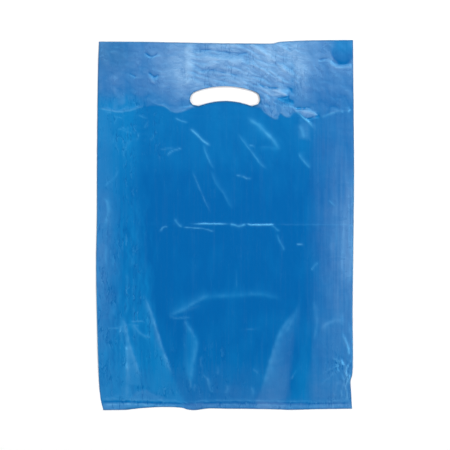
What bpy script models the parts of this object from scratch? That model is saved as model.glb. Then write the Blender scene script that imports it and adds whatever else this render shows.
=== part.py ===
"""A plastic carrier bag lying flat and empty, modelled as one folded sheet of film.

The bag is a blown polyethylene tube pressed flat. Its top is turned in to make a deep hem,
its foot is closed by one welded line with a short loose skirt below it, and a curved hand
slot is punched through every layer of the hem.

Units are metres. X runs across the bag, Y from the foot to the mouth, Z up. The origin is
under the middle of the bag, on the surface that it lies on.
"""

import math

import bmesh
import bpy

# Film
FILM = 0.00003  # thickness of one layer
HEM_INSET = 0.0004  # from the outer layer to the hem layer inside it

# Outline
BAG_WIDTH = 0.3175  # across the flattened tube
BAG_LENGTH = 0.4555  # from the skirt's cut edge to the folded mouth
HEM_DEPTH = 0.0855
SKIRT_LENGTH = 0.0080  # from the weld's centre line to the cut edge
WELD_WIDTH = 0.0015
PRESSED_LENGTH = 0.0030  # stretch that the sealing bar pressed flat, with the weld inside it
NECK_LENGTH = 0.0150  # stretch above it where shrinking film draws the sides in
NECK_LEFT = 0.0040
NECK_RIGHT = 0.0015
PRESSED_TOP = SKIRT_LENGTH + PRESSED_LENGTH / 2.0
PRESSED_FOOT = SKIRT_LENGTH - PRESSED_LENGTH / 2.0

# Thickness of the flattened tube, outside to outside
FOLD_HEIGHT = 0.0016  # at the side folds
WELD_HEIGHT = 0.0002  # at the weld
SKIRT_HEIGHT = 0.0008  # at the skirt's cut edge
TAPER_LENGTH = 0.0450  # from the pressed stretch up to the full side fold
PILLOW = 0.0020  # how much the middle stands above the side folds
MOUTH_SHARE = 0.35  # share of the pillow that is left at the mouth

# Hand slot: a band of even width swept along an arc, with round ends
SLOT_DROP = 0.0647  # from the mouth to the middle of the slot's centre line
SLOT_WIDTH = 0.0183
SLOT_ARC_RADIUS = 0.0978  # of the centre line
SLOT_END_OFFSET = 0.0344  # from the bag's centre line to the middle of each round end
SLOT_CUT_HEIGHT = 0.0200  # of the cutter, well past both faces of the bag

# Mesh divisions
PANEL_STEPS = 14
SIDE_FOLD_STEPS = 6
HEM_STEPS = 5
MOUTH_FOLD_STEPS = 4
BODY_STEPS = 16
TAPER_STEPS = 7
SKIRT_STEPS = 3
SLOT_ARC_STEPS = 12
SLOT_END_STEPS = 8

# Finish
FILM_COLOUR = (0.005, 0.165, 0.479, 1.0)
FILM_ROUGHNESS = 0.32


def clear_objects():
    """Remove every object from the open scene."""
    for item in list(bpy.data.objects):
        bpy.data.objects.remove(item, do_unlink=True)


def new_collection(name):
    """Return a new collection linked to the scene."""
    collection = bpy.data.collections.new(name)
    bpy.context.scene.collection.children.link(collection)
    return collection


def new_object(name, shape, collection):
    """Return an object made from a bmesh, which is freed."""
    mesh = bpy.data.meshes.new(name)
    shape.to_mesh(mesh)
    shape.free()
    item = bpy.data.objects.new(name, mesh)
    collection.objects.link(item)
    return item


def film_material():
    """Return the blue film's material."""
    material = bpy.data.materials.new("blue_polyethylene_film")
    material.use_nodes = True
    shader = material.node_tree.nodes["Principled BSDF"]
    shader.inputs["Base Color"].default_value = FILM_COLOUR
    shader.inputs["Roughness"].default_value = FILM_ROUGHNESS
    shader.inputs["Metallic"].default_value = 0.0
    return material


def spaced(start, end, steps):
    """Return the values from start to end, both included, in even steps."""
    return [start + (end - start) * step / steps for step in range(steps + 1)]


def smooth(value):
    """Return an S-shaped ramp from 0 to 1 as value goes from 0 to 1."""
    value = min(max(value, 0.0), 1.0)
    return value * value * (3.0 - 2.0 * value)


def edge_height(y):
    """Return the tube's thickness at its side folds, at a distance y up the bag."""
    if y > PRESSED_TOP:
        share = smooth((y - PRESSED_TOP) / TAPER_LENGTH)
        return WELD_HEIGHT + (FOLD_HEIGHT - WELD_HEIGHT) * share
    share = smooth((PRESSED_FOOT - y) / PRESSED_FOOT)
    return WELD_HEIGHT + (SKIRT_HEIGHT - WELD_HEIGHT) * share


def pillow_height(across, y):
    """Return how far the front panel stands above its side folds.

    across runs from -1 at the left fold to 1 at the right fold.
    """
    rise = smooth((y - PRESSED_TOP) / (2.0 * TAPER_LENGTH))
    hem_start = BAG_LENGTH - HEM_DEPTH
    fall = 1.0 - (1.0 - MOUTH_SHARE) * smooth((y - hem_start) / HEM_DEPTH)
    return PILLOW * rise * fall * (1.0 - across * across) ** 2


def side_edges(y):
    """Return the x of the left and right outer edges at a distance y up the bag."""
    drawn_in = 1.0 - smooth((y - PRESSED_TOP) / NECK_LENGTH)
    left = -BAG_WIDTH / 2.0 + NECK_LEFT * drawn_in
    right = BAG_WIDTH / 2.0 - NECK_RIGHT * drawn_in
    return left, right


def stations_along():
    """Return the (y, inset) stations along the film, from the hem's free edge to the skirt.

    The inset is the distance between the film and the outer layer, which is 0 past the mouth.
    """
    fold_radius = HEM_INSET / 2.0
    fold_y = BAG_LENGTH - FILM / 2.0 - fold_radius
    stations = [(y, HEM_INSET) for y in spaced(BAG_LENGTH - HEM_DEPTH, fold_y, HEM_STEPS)]
    for turn in spaced(0.0, math.pi, MOUTH_FOLD_STEPS)[1:]:
        y = fold_y + fold_radius * math.sin(turn)
        stations.append((y, fold_radius * (1.0 + math.cos(turn))))
    taper_top = PRESSED_TOP + TAPER_LENGTH
    stations += [(y, 0.0) for y in spaced(fold_y, taper_top, BODY_STEPS)[1:]]
    stations += [(y, 0.0) for y in spaced(taper_top, PRESSED_TOP, TAPER_STEPS)[1:]]
    stations += [(y, 0.0) for y in spaced(PRESSED_FOOT, 0.0, SKIRT_STEPS)]
    return stations


def stations_around():
    """Return the (place, share) stations around the tube, the last one meeting the first."""
    stations = [("back", share) for share in spaced(-1.0, 1.0, PANEL_STEPS)]
    stations += [("right", share) for share in spaced(0.0, 1.0, SIDE_FOLD_STEPS)[1:]]
    stations += [("front", share) for share in spaced(1.0, -1.0, PANEL_STEPS)[1:]]
    stations += [("left", share) for share in spaced(0.0, 1.0, SIDE_FOLD_STEPS)[1:]]
    return stations


def film_point(around, along):
    """Return the point on the film's middle surface at one pair of stations."""
    place, share = around
    y, inset = along
    left, right = side_edges(y)
    fold_radius = edge_height(y) / 2.0
    film_radius = fold_radius - FILM / 2.0 - inset
    left_centre = left + fold_radius
    right_centre = right - fold_radius
    if place == "right":
        angle = math.pi * (share - 0.5)
        x = right_centre + film_radius * math.cos(angle)
        return x, y, fold_radius + film_radius * math.sin(angle)
    if place == "left":
        angle = math.pi * (share + 0.5)
        x = left_centre + film_radius * math.cos(angle)
        return x, y, fold_radius + film_radius * math.sin(angle)
    x = left_centre + (right_centre - left_centre) * (share + 1.0) / 2.0
    if place == "back":
        return x, y, fold_radius - film_radius
    return x, y, fold_radius + film_radius + pillow_height(share, y)


def film_sheet(collection):
    """Return the bag's film: a flattened tube with its top turned in, given its thickness."""
    around = stations_around()
    along = stations_along()
    columns = len(around) - 1
    rows = len(along) - 1
    sheet = bmesh.new()
    bmesh.ops.create_grid(sheet, x_segments=columns, y_segments=rows, size=0.5)
    for vertex in sheet.verts:
        column = round((vertex.co.x + 0.5) * columns)
        row = round((vertex.co.y + 0.5) * rows)
        vertex.co = film_point(around[column], along[row])
    bmesh.ops.remove_doubles(sheet, verts=sheet.verts, dist=FILM / 10.0)
    item = new_object("bag", sheet, collection)
    thicken = item.modifiers.new("film thickness", "SOLIDIFY")
    thicken.thickness = FILM
    thicken.offset = 0.0
    thicken.use_even_offset = True
    return item


def weld_bar(collection):
    """Return the melted line that joins the two layers across the foot.

    It reaches half way into each layer and runs out to both side folds.
    """
    left, right = side_edges(SKIRT_LENGTH)
    size = (
        right - left - FILM,
        WELD_WIDTH,
        WELD_HEIGHT - FILM,
    )
    centre = ((left + right) / 2.0, SKIRT_LENGTH, WELD_HEIGHT / 2.0)
    bar = bmesh.new()
    bmesh.ops.create_cube(bar, size=1.0)
    bmesh.ops.scale(bar, vec=size, verts=bar.verts)
    bmesh.ops.translate(bar, vec=centre, verts=bar.verts)
    return hide_tool(new_object("weld", bar, collection))


def slot_outline():
    """Return the slot's outline as (x, y) points about the middle of its centre line."""
    half = SLOT_WIDTH / 2.0
    sweep = math.asin(SLOT_END_OFFSET / SLOT_ARC_RADIUS)
    upper = SLOT_ARC_RADIUS + half
    lower = SLOT_ARC_RADIUS - half
    points = []
    for angle in spaced(-sweep, sweep, SLOT_ARC_STEPS):
        points.append((upper * math.sin(angle), upper * math.cos(angle) - SLOT_ARC_RADIUS))
    end_y = SLOT_ARC_RADIUS * math.cos(sweep) - SLOT_ARC_RADIUS
    for turn in spaced(sweep, sweep + math.pi, SLOT_END_STEPS)[1:-1]:
        points.append((SLOT_END_OFFSET + half * math.sin(turn), end_y + half * math.cos(turn)))
    for angle in spaced(sweep, -sweep, SLOT_ARC_STEPS):
        points.append((lower * math.sin(angle), lower * math.cos(angle) - SLOT_ARC_RADIUS))
    for turn in spaced(math.pi - sweep, 2.0 * math.pi - sweep, SLOT_END_STEPS)[1:-1]:
        points.append((half * math.sin(turn) - SLOT_END_OFFSET, end_y + half * math.cos(turn)))
    return points


def slot_punch(collection):
    """Return the punch that cuts the hand slot through every layer."""
    slot_y = BAG_LENGTH - SLOT_DROP
    base_z = -SLOT_CUT_HEIGHT / 2.0
    punch = bmesh.new()
    corners = [punch.verts.new((x, slot_y + y, base_z)) for x, y in slot_outline()]
    base = punch.faces.new(corners)
    raised = bmesh.ops.extrude_face_region(punch, geom=[base])["geom"]
    raised_corners = [part for part in raised if isinstance(part, bmesh.types.BMVert)]
    bmesh.ops.translate(punch, vec=(0.0, 0.0, SLOT_CUT_HEIGHT), verts=raised_corners)
    bmesh.ops.recalc_face_normals(punch, faces=punch.faces)
    return hide_tool(new_object("slot_punch", punch, collection))


def hide_tool(item):
    """Mark an object as a guide for a Boolean, and return it."""
    item.hide_render = True
    item.display_type = "WIRE"
    return item


def add_boolean(item, tool, operation):
    """Join a tool to an object, or cut it away."""
    boolean = item.modifiers.new(tool.name, "BOOLEAN")
    boolean.operation = operation
    boolean.object = tool
    boolean.solver = "EXACT"


def build():
    """Build the bag about its own middle, resting on the surface under it."""
    clear_objects()
    parts = new_collection("plastic_carrier_bag")
    tools = new_collection("tools")
    bag = film_sheet(parts)
    bag.data.materials.append(film_material())
    weld = weld_bar(tools)
    punch = slot_punch(tools)
    add_boolean(bag, weld, "UNION")
    add_boolean(bag, punch, "DIFFERENCE")
    for item in (bag, weld, punch):
        item.location.y = -BAG_LENGTH / 2.0


build()
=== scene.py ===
"""Looks of a blue plastic carrier bag that lies flat and empty on a pale table.

The bag is one blown film tube. Its top is turned in as a deep hem, its foot is welded, and a
curved hand slot is punched through the hem. The film is modelled as one fine sheet that runs
from the hem's free edge over the mouth and down to the foot, with the creases it was packed
with, the crests pulled into it by handling and the fine crinkle of thin film.

Positions on the bag are millimetres from its middle: x to the right, y towards the mouth and
z up from the table. Meshes are in metres.
"""

import logging
import math
from dataclasses import dataclass, replace
from enum import Enum

import bpy
import numpy as np
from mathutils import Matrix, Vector


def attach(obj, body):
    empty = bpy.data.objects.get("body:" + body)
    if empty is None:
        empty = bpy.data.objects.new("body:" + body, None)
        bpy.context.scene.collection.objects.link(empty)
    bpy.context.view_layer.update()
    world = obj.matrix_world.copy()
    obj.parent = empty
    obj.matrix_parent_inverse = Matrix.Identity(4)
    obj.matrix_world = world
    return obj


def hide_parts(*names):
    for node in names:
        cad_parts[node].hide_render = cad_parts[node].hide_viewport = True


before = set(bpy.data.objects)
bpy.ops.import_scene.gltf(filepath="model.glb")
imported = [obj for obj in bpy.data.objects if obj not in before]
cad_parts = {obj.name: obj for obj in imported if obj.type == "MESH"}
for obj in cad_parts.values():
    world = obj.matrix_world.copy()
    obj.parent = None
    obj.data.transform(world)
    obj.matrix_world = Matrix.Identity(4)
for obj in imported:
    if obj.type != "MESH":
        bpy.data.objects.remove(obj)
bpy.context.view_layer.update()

MM = 0.001
Point = tuple[float, float]
Grid = np.ndarray
Tree = bpy.types.NodeTree
Socket = bpy.types.NodeSocket

# Settings that several nodes share.
TIMES = {"operation": "MULTIPLY"}
TIMES_PLUS = {"operation": "MULTIPLY_ADD"}
CLAMPED = {"use_clamp": True}
BLEND = {"data_type": "RGBA"}

log = logging.getLogger("carrier_bag")


class Share(Enum):
    """The shares that the mesh hands to the film's material, by attribute name."""

    HAZE_AND_SHEEN = "haze_and_sheen"
    CREASED_HIGHLIGHT = "creased"
    AIR_AND_SHADING = "air"
    CRINKLED = "crinkled"
    EDGE = "edge"


def ramp(low: float, high: float, value: Grid) -> Grid:
    """Return a smooth step from 0 at low to 1 at high.

    Args:
        low: Value where the step starts.
        high: Value where the step ends, which may be below low.
        value: Values to step.

    Returns:
        The step, from 0 to 1.
    """
    share = np.clip((value - low) / (high - low), 0.0, 1.0)
    return share * share * (3.0 - 2.0 * share)


def bell(middle: float, half_width: float, value: Grid) -> Grid:
    """Return a smooth bell of height 1 around a middle.

    Args:
        middle: Value under the bell's top.
        half_width: Distance at which the bell has fallen to about a third.
        value: Values to weigh.

    Returns:
        The bell's height at each value.
    """
    return np.exp(-(((value - middle) / half_width) ** 2))


class PlaneNoise:
    """Smooth noise over a plane, the same each run for the same seed."""

    TABLE = 256

    def __init__(self, seed: int) -> None:
        """Draw the noise's lattice.

        Args:
            seed: Number that picks the noise.
        """
        source = np.random.default_rng(seed)
        self.order = source.permutation(self.TABLE)
        angle = source.uniform(0.0, 2.0 * math.pi, self.TABLE)
        self.slope_x = np.cos(angle)
        self.slope_y = np.sin(angle)

    def _corner(self, cell_x: Grid, cell_y: Grid, dx: Grid, dy: Grid) -> Grid:
        """Return one lattice corner's share of the noise.

        Args:
            cell_x: Lattice column of the corner.
            cell_y: Lattice row of the corner.
            dx: Distance from the corner along x.
            dy: Distance from the corner along y.

        Returns:
            The corner's slope times the distance.
        """
        row = self.order[np.mod(cell_y, self.TABLE)]
        pick = self.order[np.mod(cell_x + row, self.TABLE)]
        return self.slope_x[pick] * dx + self.slope_y[pick] * dy

    def smooth(self, x: Grid, y: Grid) -> Grid:
        """Return noise from about -1 to 1, with features one unit across.

        Args:
            x: First coordinate, in feature sizes.
            y: Second coordinate, in feature sizes.

        Returns:
            The noise at each place.
        """
        left = np.floor(x).astype(int)
        foot = np.floor(y).astype(int)
        dx = x - left
        dy = y - foot
        blend_x = dx * dx * dx * (dx * (dx * 6.0 - 15.0) + 10.0)
        blend_y = dy * dy * dy * (dy * (dy * 6.0 - 15.0) + 10.0)
        low = self._corner(left, foot, dx, dy) * (1.0 - blend_x)
        low = low + self._corner(left + 1, foot, dx - 1.0, dy) * blend_x
        high = self._corner(left, foot + 1, dx, dy - 1.0) * (1.0 - blend_x)
        high = high + self._corner(left + 1, foot + 1, dx - 1.0, dy - 1.0) * blend_x
        return (low * (1.0 - blend_y) + high * blend_y) * 1.5

    def crinkle(self, x: Grid, y: Grid, octaves: int = 3) -> Grid:
        """Return sharp-crested noise, like film that was crushed and let go.

        Args:
            x: First coordinate, in sizes of the largest facet.
            y: Second coordinate, in sizes of the largest facet.
            octaves: How many times finer facets are laid over it.

        Returns:
            Crest heights, from about -1 to 1.
        """
        total = np.zeros_like(x)
        weight = 1.0
        for octave in range(octaves):
            shift = 19.7 * octave
            total += weight * (0.5 - 1.6 * np.abs(self.smooth(x + shift, y - shift)))
            x = x * 2.1
            y = y * 2.1
            weight *= 0.5
        return total


WANDER = PlaneNoise(41)


def smooth_route(points: tuple[Point, ...], step: float = 3.0) -> Grid:
    """Return a smooth curve through a few points.

    Args:
        points: Points the curve passes through, in millimetres.
        step: Spacing of the returned points, in millimetres.

    Returns:
        An array of points along the curve.
    """
    control = np.array([points[0], *points, points[-1]], float)
    pieces = []
    for index in range(len(points) - 1):
        before, start, end, after = control[index : index + 4]
        count = max(2, math.ceil(np.linalg.norm(end - start) / step))
        t = np.linspace(0.0, 1.0, count, endpoint=False)[:, None]
        curve = 2.0 * start + (end - before) * t
        curve = curve + (2.0 * before - 5.0 * start + 4.0 * end - after) * t**2
        curve = curve + (3.0 * start - before - 3.0 * end + after) * t**3
        pieces.append(curve / 2.0)
    pieces.append(control[-1:])
    return np.concatenate(pieces)


def from_route(line: Grid, x: Grid, y: Grid) -> tuple[Grid, Grid]:
    """Return where places lie beside a route.

    Args:
        line: Points along the route.
        x: First coordinates of the places.
        y: Second coordinates of the places.

    Returns:
        The distance from the route, above 0 to its left, and the share of the route's length
        at the nearest point.
    """
    nearest = np.full(x.shape, np.inf)
    side = np.ones(x.shape)
    share = np.zeros(x.shape)
    steps = np.diff(line, axis=0)
    lengths = np.linalg.norm(steps, axis=1)
    starts = np.concatenate([[0.0], np.cumsum(lengths)])
    for start, step, length, before in zip(line[:-1], steps, lengths, starts[:-1]):
        along = ((x - start[0]) * step[0] + (y - start[1]) * step[1]) / length**2
        along = np.clip(along, 0.0, 1.0)
        off_x = x - start[0] - along * step[0]
        off_y = y - start[1] - along * step[1]
        distance = np.hypot(off_x, off_y)
        closer = distance < nearest
        nearest = np.where(closer, distance, nearest)
        side = np.where(closer, np.sign(step[0] * off_y - step[1] * off_x + 1e-12), side)
        share = np.where(closer, (before + along * length) / starts[-1], share)
    return nearest * side, share


@dataclass(frozen=True)
class Crest:
    """A crest in the film along a smooth route, or a valley.

    Film turns milky where it is creased sharply, and clear where a valley presses the layers
    together. Its paleness also stands for a painted highlight along a crest, and its clearness
    for painted shade along a valley.

    Attributes:
        route: Points the crest passes through, in millimetres.
        height: Height of the crest, in millimetres, below 0 for a valley.
        left: Width of the flank to the left of the route, in millimetres.
        right: Width of the flank to the right of the route, in millimetres.
        pale: Milkiness with a painted highlight that the crease adds along its top, below 0 where it clears
            the film into painted shade.
        airy_and_shading: How far the crease parts the layers below it, below 0 where it presses them; the
            lighter or deeper blue this gives also paints light and shade on it.
        taper: Share of the route over which each end fades out.
        roundness: Radius of the crest's top, in millimetres.
    """

    route: tuple[Point, ...]
    height: float
    left: float
    right: float
    pale: float = 0.0
    airy_and_shading: float = 0.0
    taper: float = 0.3
    roundness: float = 0.6

    def shape(self, x: Grid, y: Grid) -> Grid:
        """Return the crest's profile.

        Args:
            x: Places across the bag, in millimetres.
            y: Places up the bag, in millimetres.

        Returns:
            The share of the crest's height at each place.
        """
        line = smooth_route(self.route)
        reach = 5.0 * max(self.left, self.right)
        low = line.min(axis=0) - reach
        high = line.max(axis=0) + reach
        near = (x > low[0]) & (x < high[0]) & (y > low[1]) & (y < high[1])
        profile = np.zeros_like(x)
        distance, share = from_route(line, x[near], y[near])
        distance = distance + 0.5 * WANDER.smooth(x[near] / 5.0, y[near] / 5.0)
        width = np.where(distance > 0.0, self.left, self.right)
        rounded = np.hypot(distance, self.roundness) - self.roundness
        fade = ramp(0.0, self.taper, share) * ramp(1.0, 1.0 - self.taper, share)
        fade = fade * (1.0 + 0.35 * WANDER.smooth(x[near] / 9.0 + 40.0, y[near] / 9.0))
        profile[near] = fade * np.exp(-rounded / width)
        return profile


@dataclass(frozen=True)
class Strewn:
    """Short creases that handling strews over a stretch of film.

    Lengths are millimetres and angles degrees.

    Attributes:
        seed: Seed of the draw.
        count: Number of creases.
        middle: Centre of the stretch.
        reach: Half the stretch's width and half its height.
        heading: Direction that the creases run in, from the x axis.
        spread: Most that a crease turns from the heading.
        length: Mean length of a crease.
        like: A crease with the height, flanks and milkiness of them all.
    """

    seed: int
    count: int
    middle: Point
    reach: Point
    heading: float
    spread: float
    length: float
    like: Crest

    def crests(self) -> tuple[Crest, ...]:
        """Return the creases, each with a slight bow."""
        draw = np.random.default_rng(self.seed)
        made = []
        for _ in range(self.count):
            centre = np.array(self.middle) + np.array(self.reach) * draw.uniform(-1.0, 1.0, 2)
            turn = math.radians(self.heading + self.spread * draw.uniform(-1.0, 1.0))
            half = 0.5 * self.length * draw.uniform(0.6, 1.4) * np.array((math.cos(turn), math.sin(turn)))
            bow = 0.3 * draw.uniform(-1.0, 1.0) * np.array((-half[1], half[0]))
            route = (centre - half, centre + bow, centre + half)
            made.append(replace(self.like, route=tuple((float(x), float(y)) for x, y in route)))
        return tuple(made)


@dataclass(frozen=True)
class Patch:
    """A facet of film between creases, clearer or milkier than the film round it, partly as painted sheen and
    shade.

    Attributes:
        corners: Corners of a convex outline in clockwise order, in millimetres.
        pale: Milkiness with painted sheen that the patch adds, below 0 where it is clear, as painted shade.
        airy_and_shading: How far the layers part below it, whose lighter blue also paints light on it.
        lift: Height that the patch stands over the film round it, in millimetres.
        softness: Distance over which its sides fade, in millimetres.
    """

    corners: tuple[Point, ...]
    pale: float = 0.0
    airy_and_shading: float = 0.0
    lift: float = 0.2
    softness: float = 1.0

    def cover(self, x: Grid, y: Grid) -> Grid:
        """Return 1 on the patch and 0 off it."""
        corners = np.array(self.corners, float)
        inside = np.full(x.shape, np.inf)
        for start, end in zip(corners, np.roll(corners, -1, axis=0)):
            side = end - start
            depth = (side[1] * (x - start[0]) - side[0] * (y - start[1])) / np.linalg.norm(side)
            inside = np.minimum(inside, depth)
        inside = inside + 0.8 * WANDER.smooth(x / 6.0, y / 6.0 + 20.0)
        return ramp(-self.softness, self.softness, inside)


@dataclass(frozen=True)
class Outline:
    """The flat bag's outline, in millimetres.

    Attributes:
        length: Length from foot to mouth, for the spacing of the rows.
        half_width: Half the width at the mouth.
        left_edge: Points down the left fold.
        right_edge: Points down the right fold.
        mouth_edge: Points along the folded mouth.
        foot_edge: Points along the skirt's cut edge.
    """

    length: float = 455.0
    half_width: float = 158.0
    left_edge: tuple[Point, ...] = (
        (-155.8, 228.0),
        (-157.2, 190.0),
        (-158.4, 90.0),
        (-158.6, 10.0),
        (-159.6, -50.0),
        (-158.4, -120.0),
        (-156.6, -180.0),
        (-154.4, -212.0),
        (-150.6, -228.0),
    )
    right_edge: tuple[Point, ...] = (
        (158.4, 228.0),
        (159.2, 140.0),
        (159.7, 60.0),
        (158.9, -20.0),
        (158.0, -100.0),
        (158.2, -175.0),
        (155.3, -192.0),
        (156.2, -207.0),
        (157.4, -228.0),
    )
    mouth_edge: tuple[Point, ...] = (
        (-158.0, 227.6),
        (-100.0, 227.1),
        (-60.0, 226.4),
        (-20.0, 225.6),
        (20.0, 225.2),
        (56.0, 225.1),
        (68.0, 227.2),
        (100.0, 228.8),
        (158.0, 229.6),
    )
    foot_edge: tuple[Point, ...] = (
        (-158.0, -228.2),
        (-130.0, -227.9),
        (-118.0, -226.6),
        (-100.0, -225.2),
        (-84.0, -224.5),
        (-60.0, -225.0),
        (-50.0, -227.6),
        (-40.0, -228.1),
        (-24.0, -226.2),
        (0.0, -226.5),
        (20.0, -226.6),
        (60.0, -227.2),
        (80.0, -227.9),
        (112.0, -227.1),
        (158.0, -226.5),
    )

    def edge_x(self, points: tuple[Point, ...], y: Grid) -> Grid:
        """Return a side edge's x at each y."""
        line = smooth_route(points)[::-1]
        return np.interp(y, line[:, 1], line[:, 0])

    def edge_y(self, points: tuple[Point, ...], x: Grid) -> Grid:
        """Return a mouth or foot edge's y at each x."""
        line = smooth_route(points)
        return np.interp(x, line[:, 0], line[:, 1])


@dataclass(frozen=True)
class HandSlot:
    """The punched slot: a band of even width along an arc, with round ends.

    Attributes:
        top: Height of the slot's centre line over the bag's middle, in millimetres.
        width: Width of the slot.
        radius: Radius of the centre line.
        end: Distance of each round end's middle from the bag's centre line.
    """

    top: float = 163.1
    width: float = 18.3
    radius: float = 97.8
    end: float = 34.4

    def clearance(self, x: Grid, y: Grid) -> Grid:
        """Return the distance from the slot's outline, below 0 inside the slot."""
        centre_y = self.top - self.radius
        away = np.hypot(x, y - centre_y)
        angle = np.abs(np.arctan2(x, y - centre_y))
        sweep = math.asin(self.end / self.radius)
        end_y = centre_y + self.radius * math.cos(sweep)
        band = np.abs(away - self.radius)
        round_end = np.hypot(np.abs(x) - self.end, y - end_y)
        return np.where(angle < sweep, band, round_end) - self.width / 2.0

    def punch(self, points: Grid, faces: Grid) -> tuple[Grid, list[list[int]]]:
        """Cut the slot out of a mesh, with a clean edge across the faces it crosses.

        Args:
            points: The mesh's points, in millimetres.
            faces: The corners of each face.

        Returns:
            The points and the faces that are left.
        """
        gap = self.clearance(points[:, 0], points[:, 1])
        outside = (gap > 0.0)[faces]
        kept = faces[outside.all(axis=1)].tolist()
        added: dict[tuple[int, int], int] = {}
        starts, ends = [], []
        for face in faces[outside.any(axis=1) & ~outside.all(axis=1)].tolist():
            corners = []
            for here, there in zip(face, face[1:] + face[:1]):
                if gap[here] > 0.0:
                    corners.append(here)
                if (gap[here] > 0.0) != (gap[there] > 0.0):
                    key = (min(here, there), max(here, there))
                    if key not in added:
                        added[key] = len(points) + len(added)
                        starts.append(key[0])
                        ends.append(key[1])
                    corners.append(added[key])
            kept.append(corners)
        share = gap[starts] / (gap[starts] - gap[ends])
        cut_points = points[starts] + (points[ends] - points[starts]) * share[:, None]
        return np.concatenate([points, cut_points]), kept


@dataclass(frozen=True)
class HemBand:
    """The hem that is turned in under the mouth, as it shows through the front panel.

    Attributes:
        free_edge: Points along the hem's free edge, in millimetres.
        gap: Distance from the outer film to the hem film, in millimetres.
        step: How far the hem's edge lifts the panel, in millimetres.
    """

    free_edge: tuple[Point, ...] = (
        (-158.0, 146.0),
        (-140.0, 142.0),
        (-127.0, 141.0),
        (-113.0, 144.0),
        (-99.0, 147.0),
        (-84.0, 148.0),
        (-74.0, 147.0),
        (-67.0, 142.0),
        (-59.0, 140.0),
        (-50.0, 142.0),
        (-36.0, 147.0),
        (-18.0, 151.5),
        (0.0, 153.0),
        (18.0, 151.5),
        (36.0, 147.0),
        (43.0, 146.0),
        (48.0, 141.0),
        (54.0, 136.0),
        (61.0, 132.0),
        (65.0, 133.0),
        (68.0, 139.0),
        (73.0, 136.0),
        (79.0, 134.0),
        (84.0, 139.0),
        (92.0, 140.0),
        (100.0, 133.0),
        (108.0, 132.0),
        (118.0, 135.0),
        (137.0, 141.0),
        (158.0, 143.0),
    )
    gap: float = 0.35
    step: float = 0.35

    def edge_y(self, x: Grid) -> Grid:
        """Return the free edge's y at each x."""
        line = smooth_route(self.free_edge)
        return np.interp(x, line[:, 0], line[:, 1])

    def cover(self, x: Grid, y: Grid, softness: float = 2.5) -> Grid:
        """Return 1 over the hem and 0 below it, with a soft edge."""
        return ramp(-softness, softness, y - self.edge_y(x))


def body_crests() -> tuple[Crest, ...]:
    """Return the creases between the hand slot and the crosswise packing fold."""
    return (
        Crest(((-64, 134), (-53, 129), (-44, 127)), height=0.18, left=0.8, right=0.9, pale=0.12, airy_and_shading=0.3),
        Crest(
            ((-46, 119), (-41, 118), (-33, 111), (-26, 104), (-16, 98)),
            height=0.3, left=0.9, right=1.1, pale=0.2, airy_and_shading=0.5, taper=0.2,
        ),
        Crest(
            ((-26, 103), (-25, 93), (-20, 81), (-13, 68)),
            height=0.24, left=1.6, right=0.9, pale=0.06, airy_and_shading=0.35, taper=0.2,
        ),
        Crest(
            ((-19, 71), (-11, 52), (-2, 40), (4, 28), (11, 18)),
            height=0.24, left=3.0, right=1.0, pale=0.035, airy_and_shading=0.35, taper=0.2,
        ),
        Crest(
            ((-41, 70), (-35, 54), (-28, 38), (-23, 26), (-16, 13)),
            height=0.18, left=0.7, right=0.7, pale=0.065, airy_and_shading=0.1, taper=0.2, roundness=0.5,
        ),
        Crest(
            ((24, 136), (34, 129), (42, 123), (51, 114), (60, 105), (69, 90)),
            height=0.3, left=1.9, right=2.2, pale=0.13, airy_and_shading=0.7, taper=0.25, roundness=1.4,
        ),
        Crest(
            ((14, 115), (23, 104), (28, 97), (35, 88), (44, 76), (55, 68)),
            height=0.24, left=1.6, right=0.9, pale=0.07, airy_and_shading=0.35, taper=0.2,
        ),
        Crest(((28, 98), (32, 99), (38, 97)), height=0.18, left=0.7, right=0.7, pale=0.09, airy_and_shading=0.2),
        Crest(
            ((38, 96), (53, 97), (69, 94)),
            height=0.12, left=0.8, right=4.0, pale=0.01, airy_and_shading=0.25, taper=0.25,
        ),
        Crest(
            ((90, 91), (95, 82), (103, 73), (107, 70)),
            height=0.3, left=3.0, right=0.9, pale=0.09, airy_and_shading=0.4, taper=0.2,
        ),
        Crest(
            ((12, 62), (21, 61), (28, 58), (34, 59)),
            height=0.21, left=0.8, right=0.8, pale=0.1, airy_and_shading=0.2, taper=0.2,
        ),
        Crest(
            ((-73, 85), (-67, 91), (-60, 94), (-52, 96)),
            height=0.24, left=0.8, right=0.9, pale=0.15, airy_and_shading=0.2, taper=0.2,
        ),
        Crest(
            ((-82, 94), (-71, 95), (-61, 97)),
            height=0.18, left=0.7, right=0.7, pale=0.08, airy_and_shading=0.1, taper=0.25,
        ),
        Crest(
            ((-151, 47), (-144, 53), (-136, 60), (-131, 70)),
            height=0.18, left=0.9, right=0.9, pale=0.05, airy_and_shading=0.2, taper=0.2,
        ),
        Crest(
            ((-153, 37), (-147, 31), (-144, 24), (-146, 9), (-151, -5)),
            height=0.24, left=4.0, right=1.2, pale=0.07, airy_and_shading=0.2, taper=0.2,
        ),
        Crest(((127, 32), (132, 28), (137, 23)), height=0.15, left=0.8, right=0.8, pale=0.08, airy_and_shading=0.1),
    )


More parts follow.
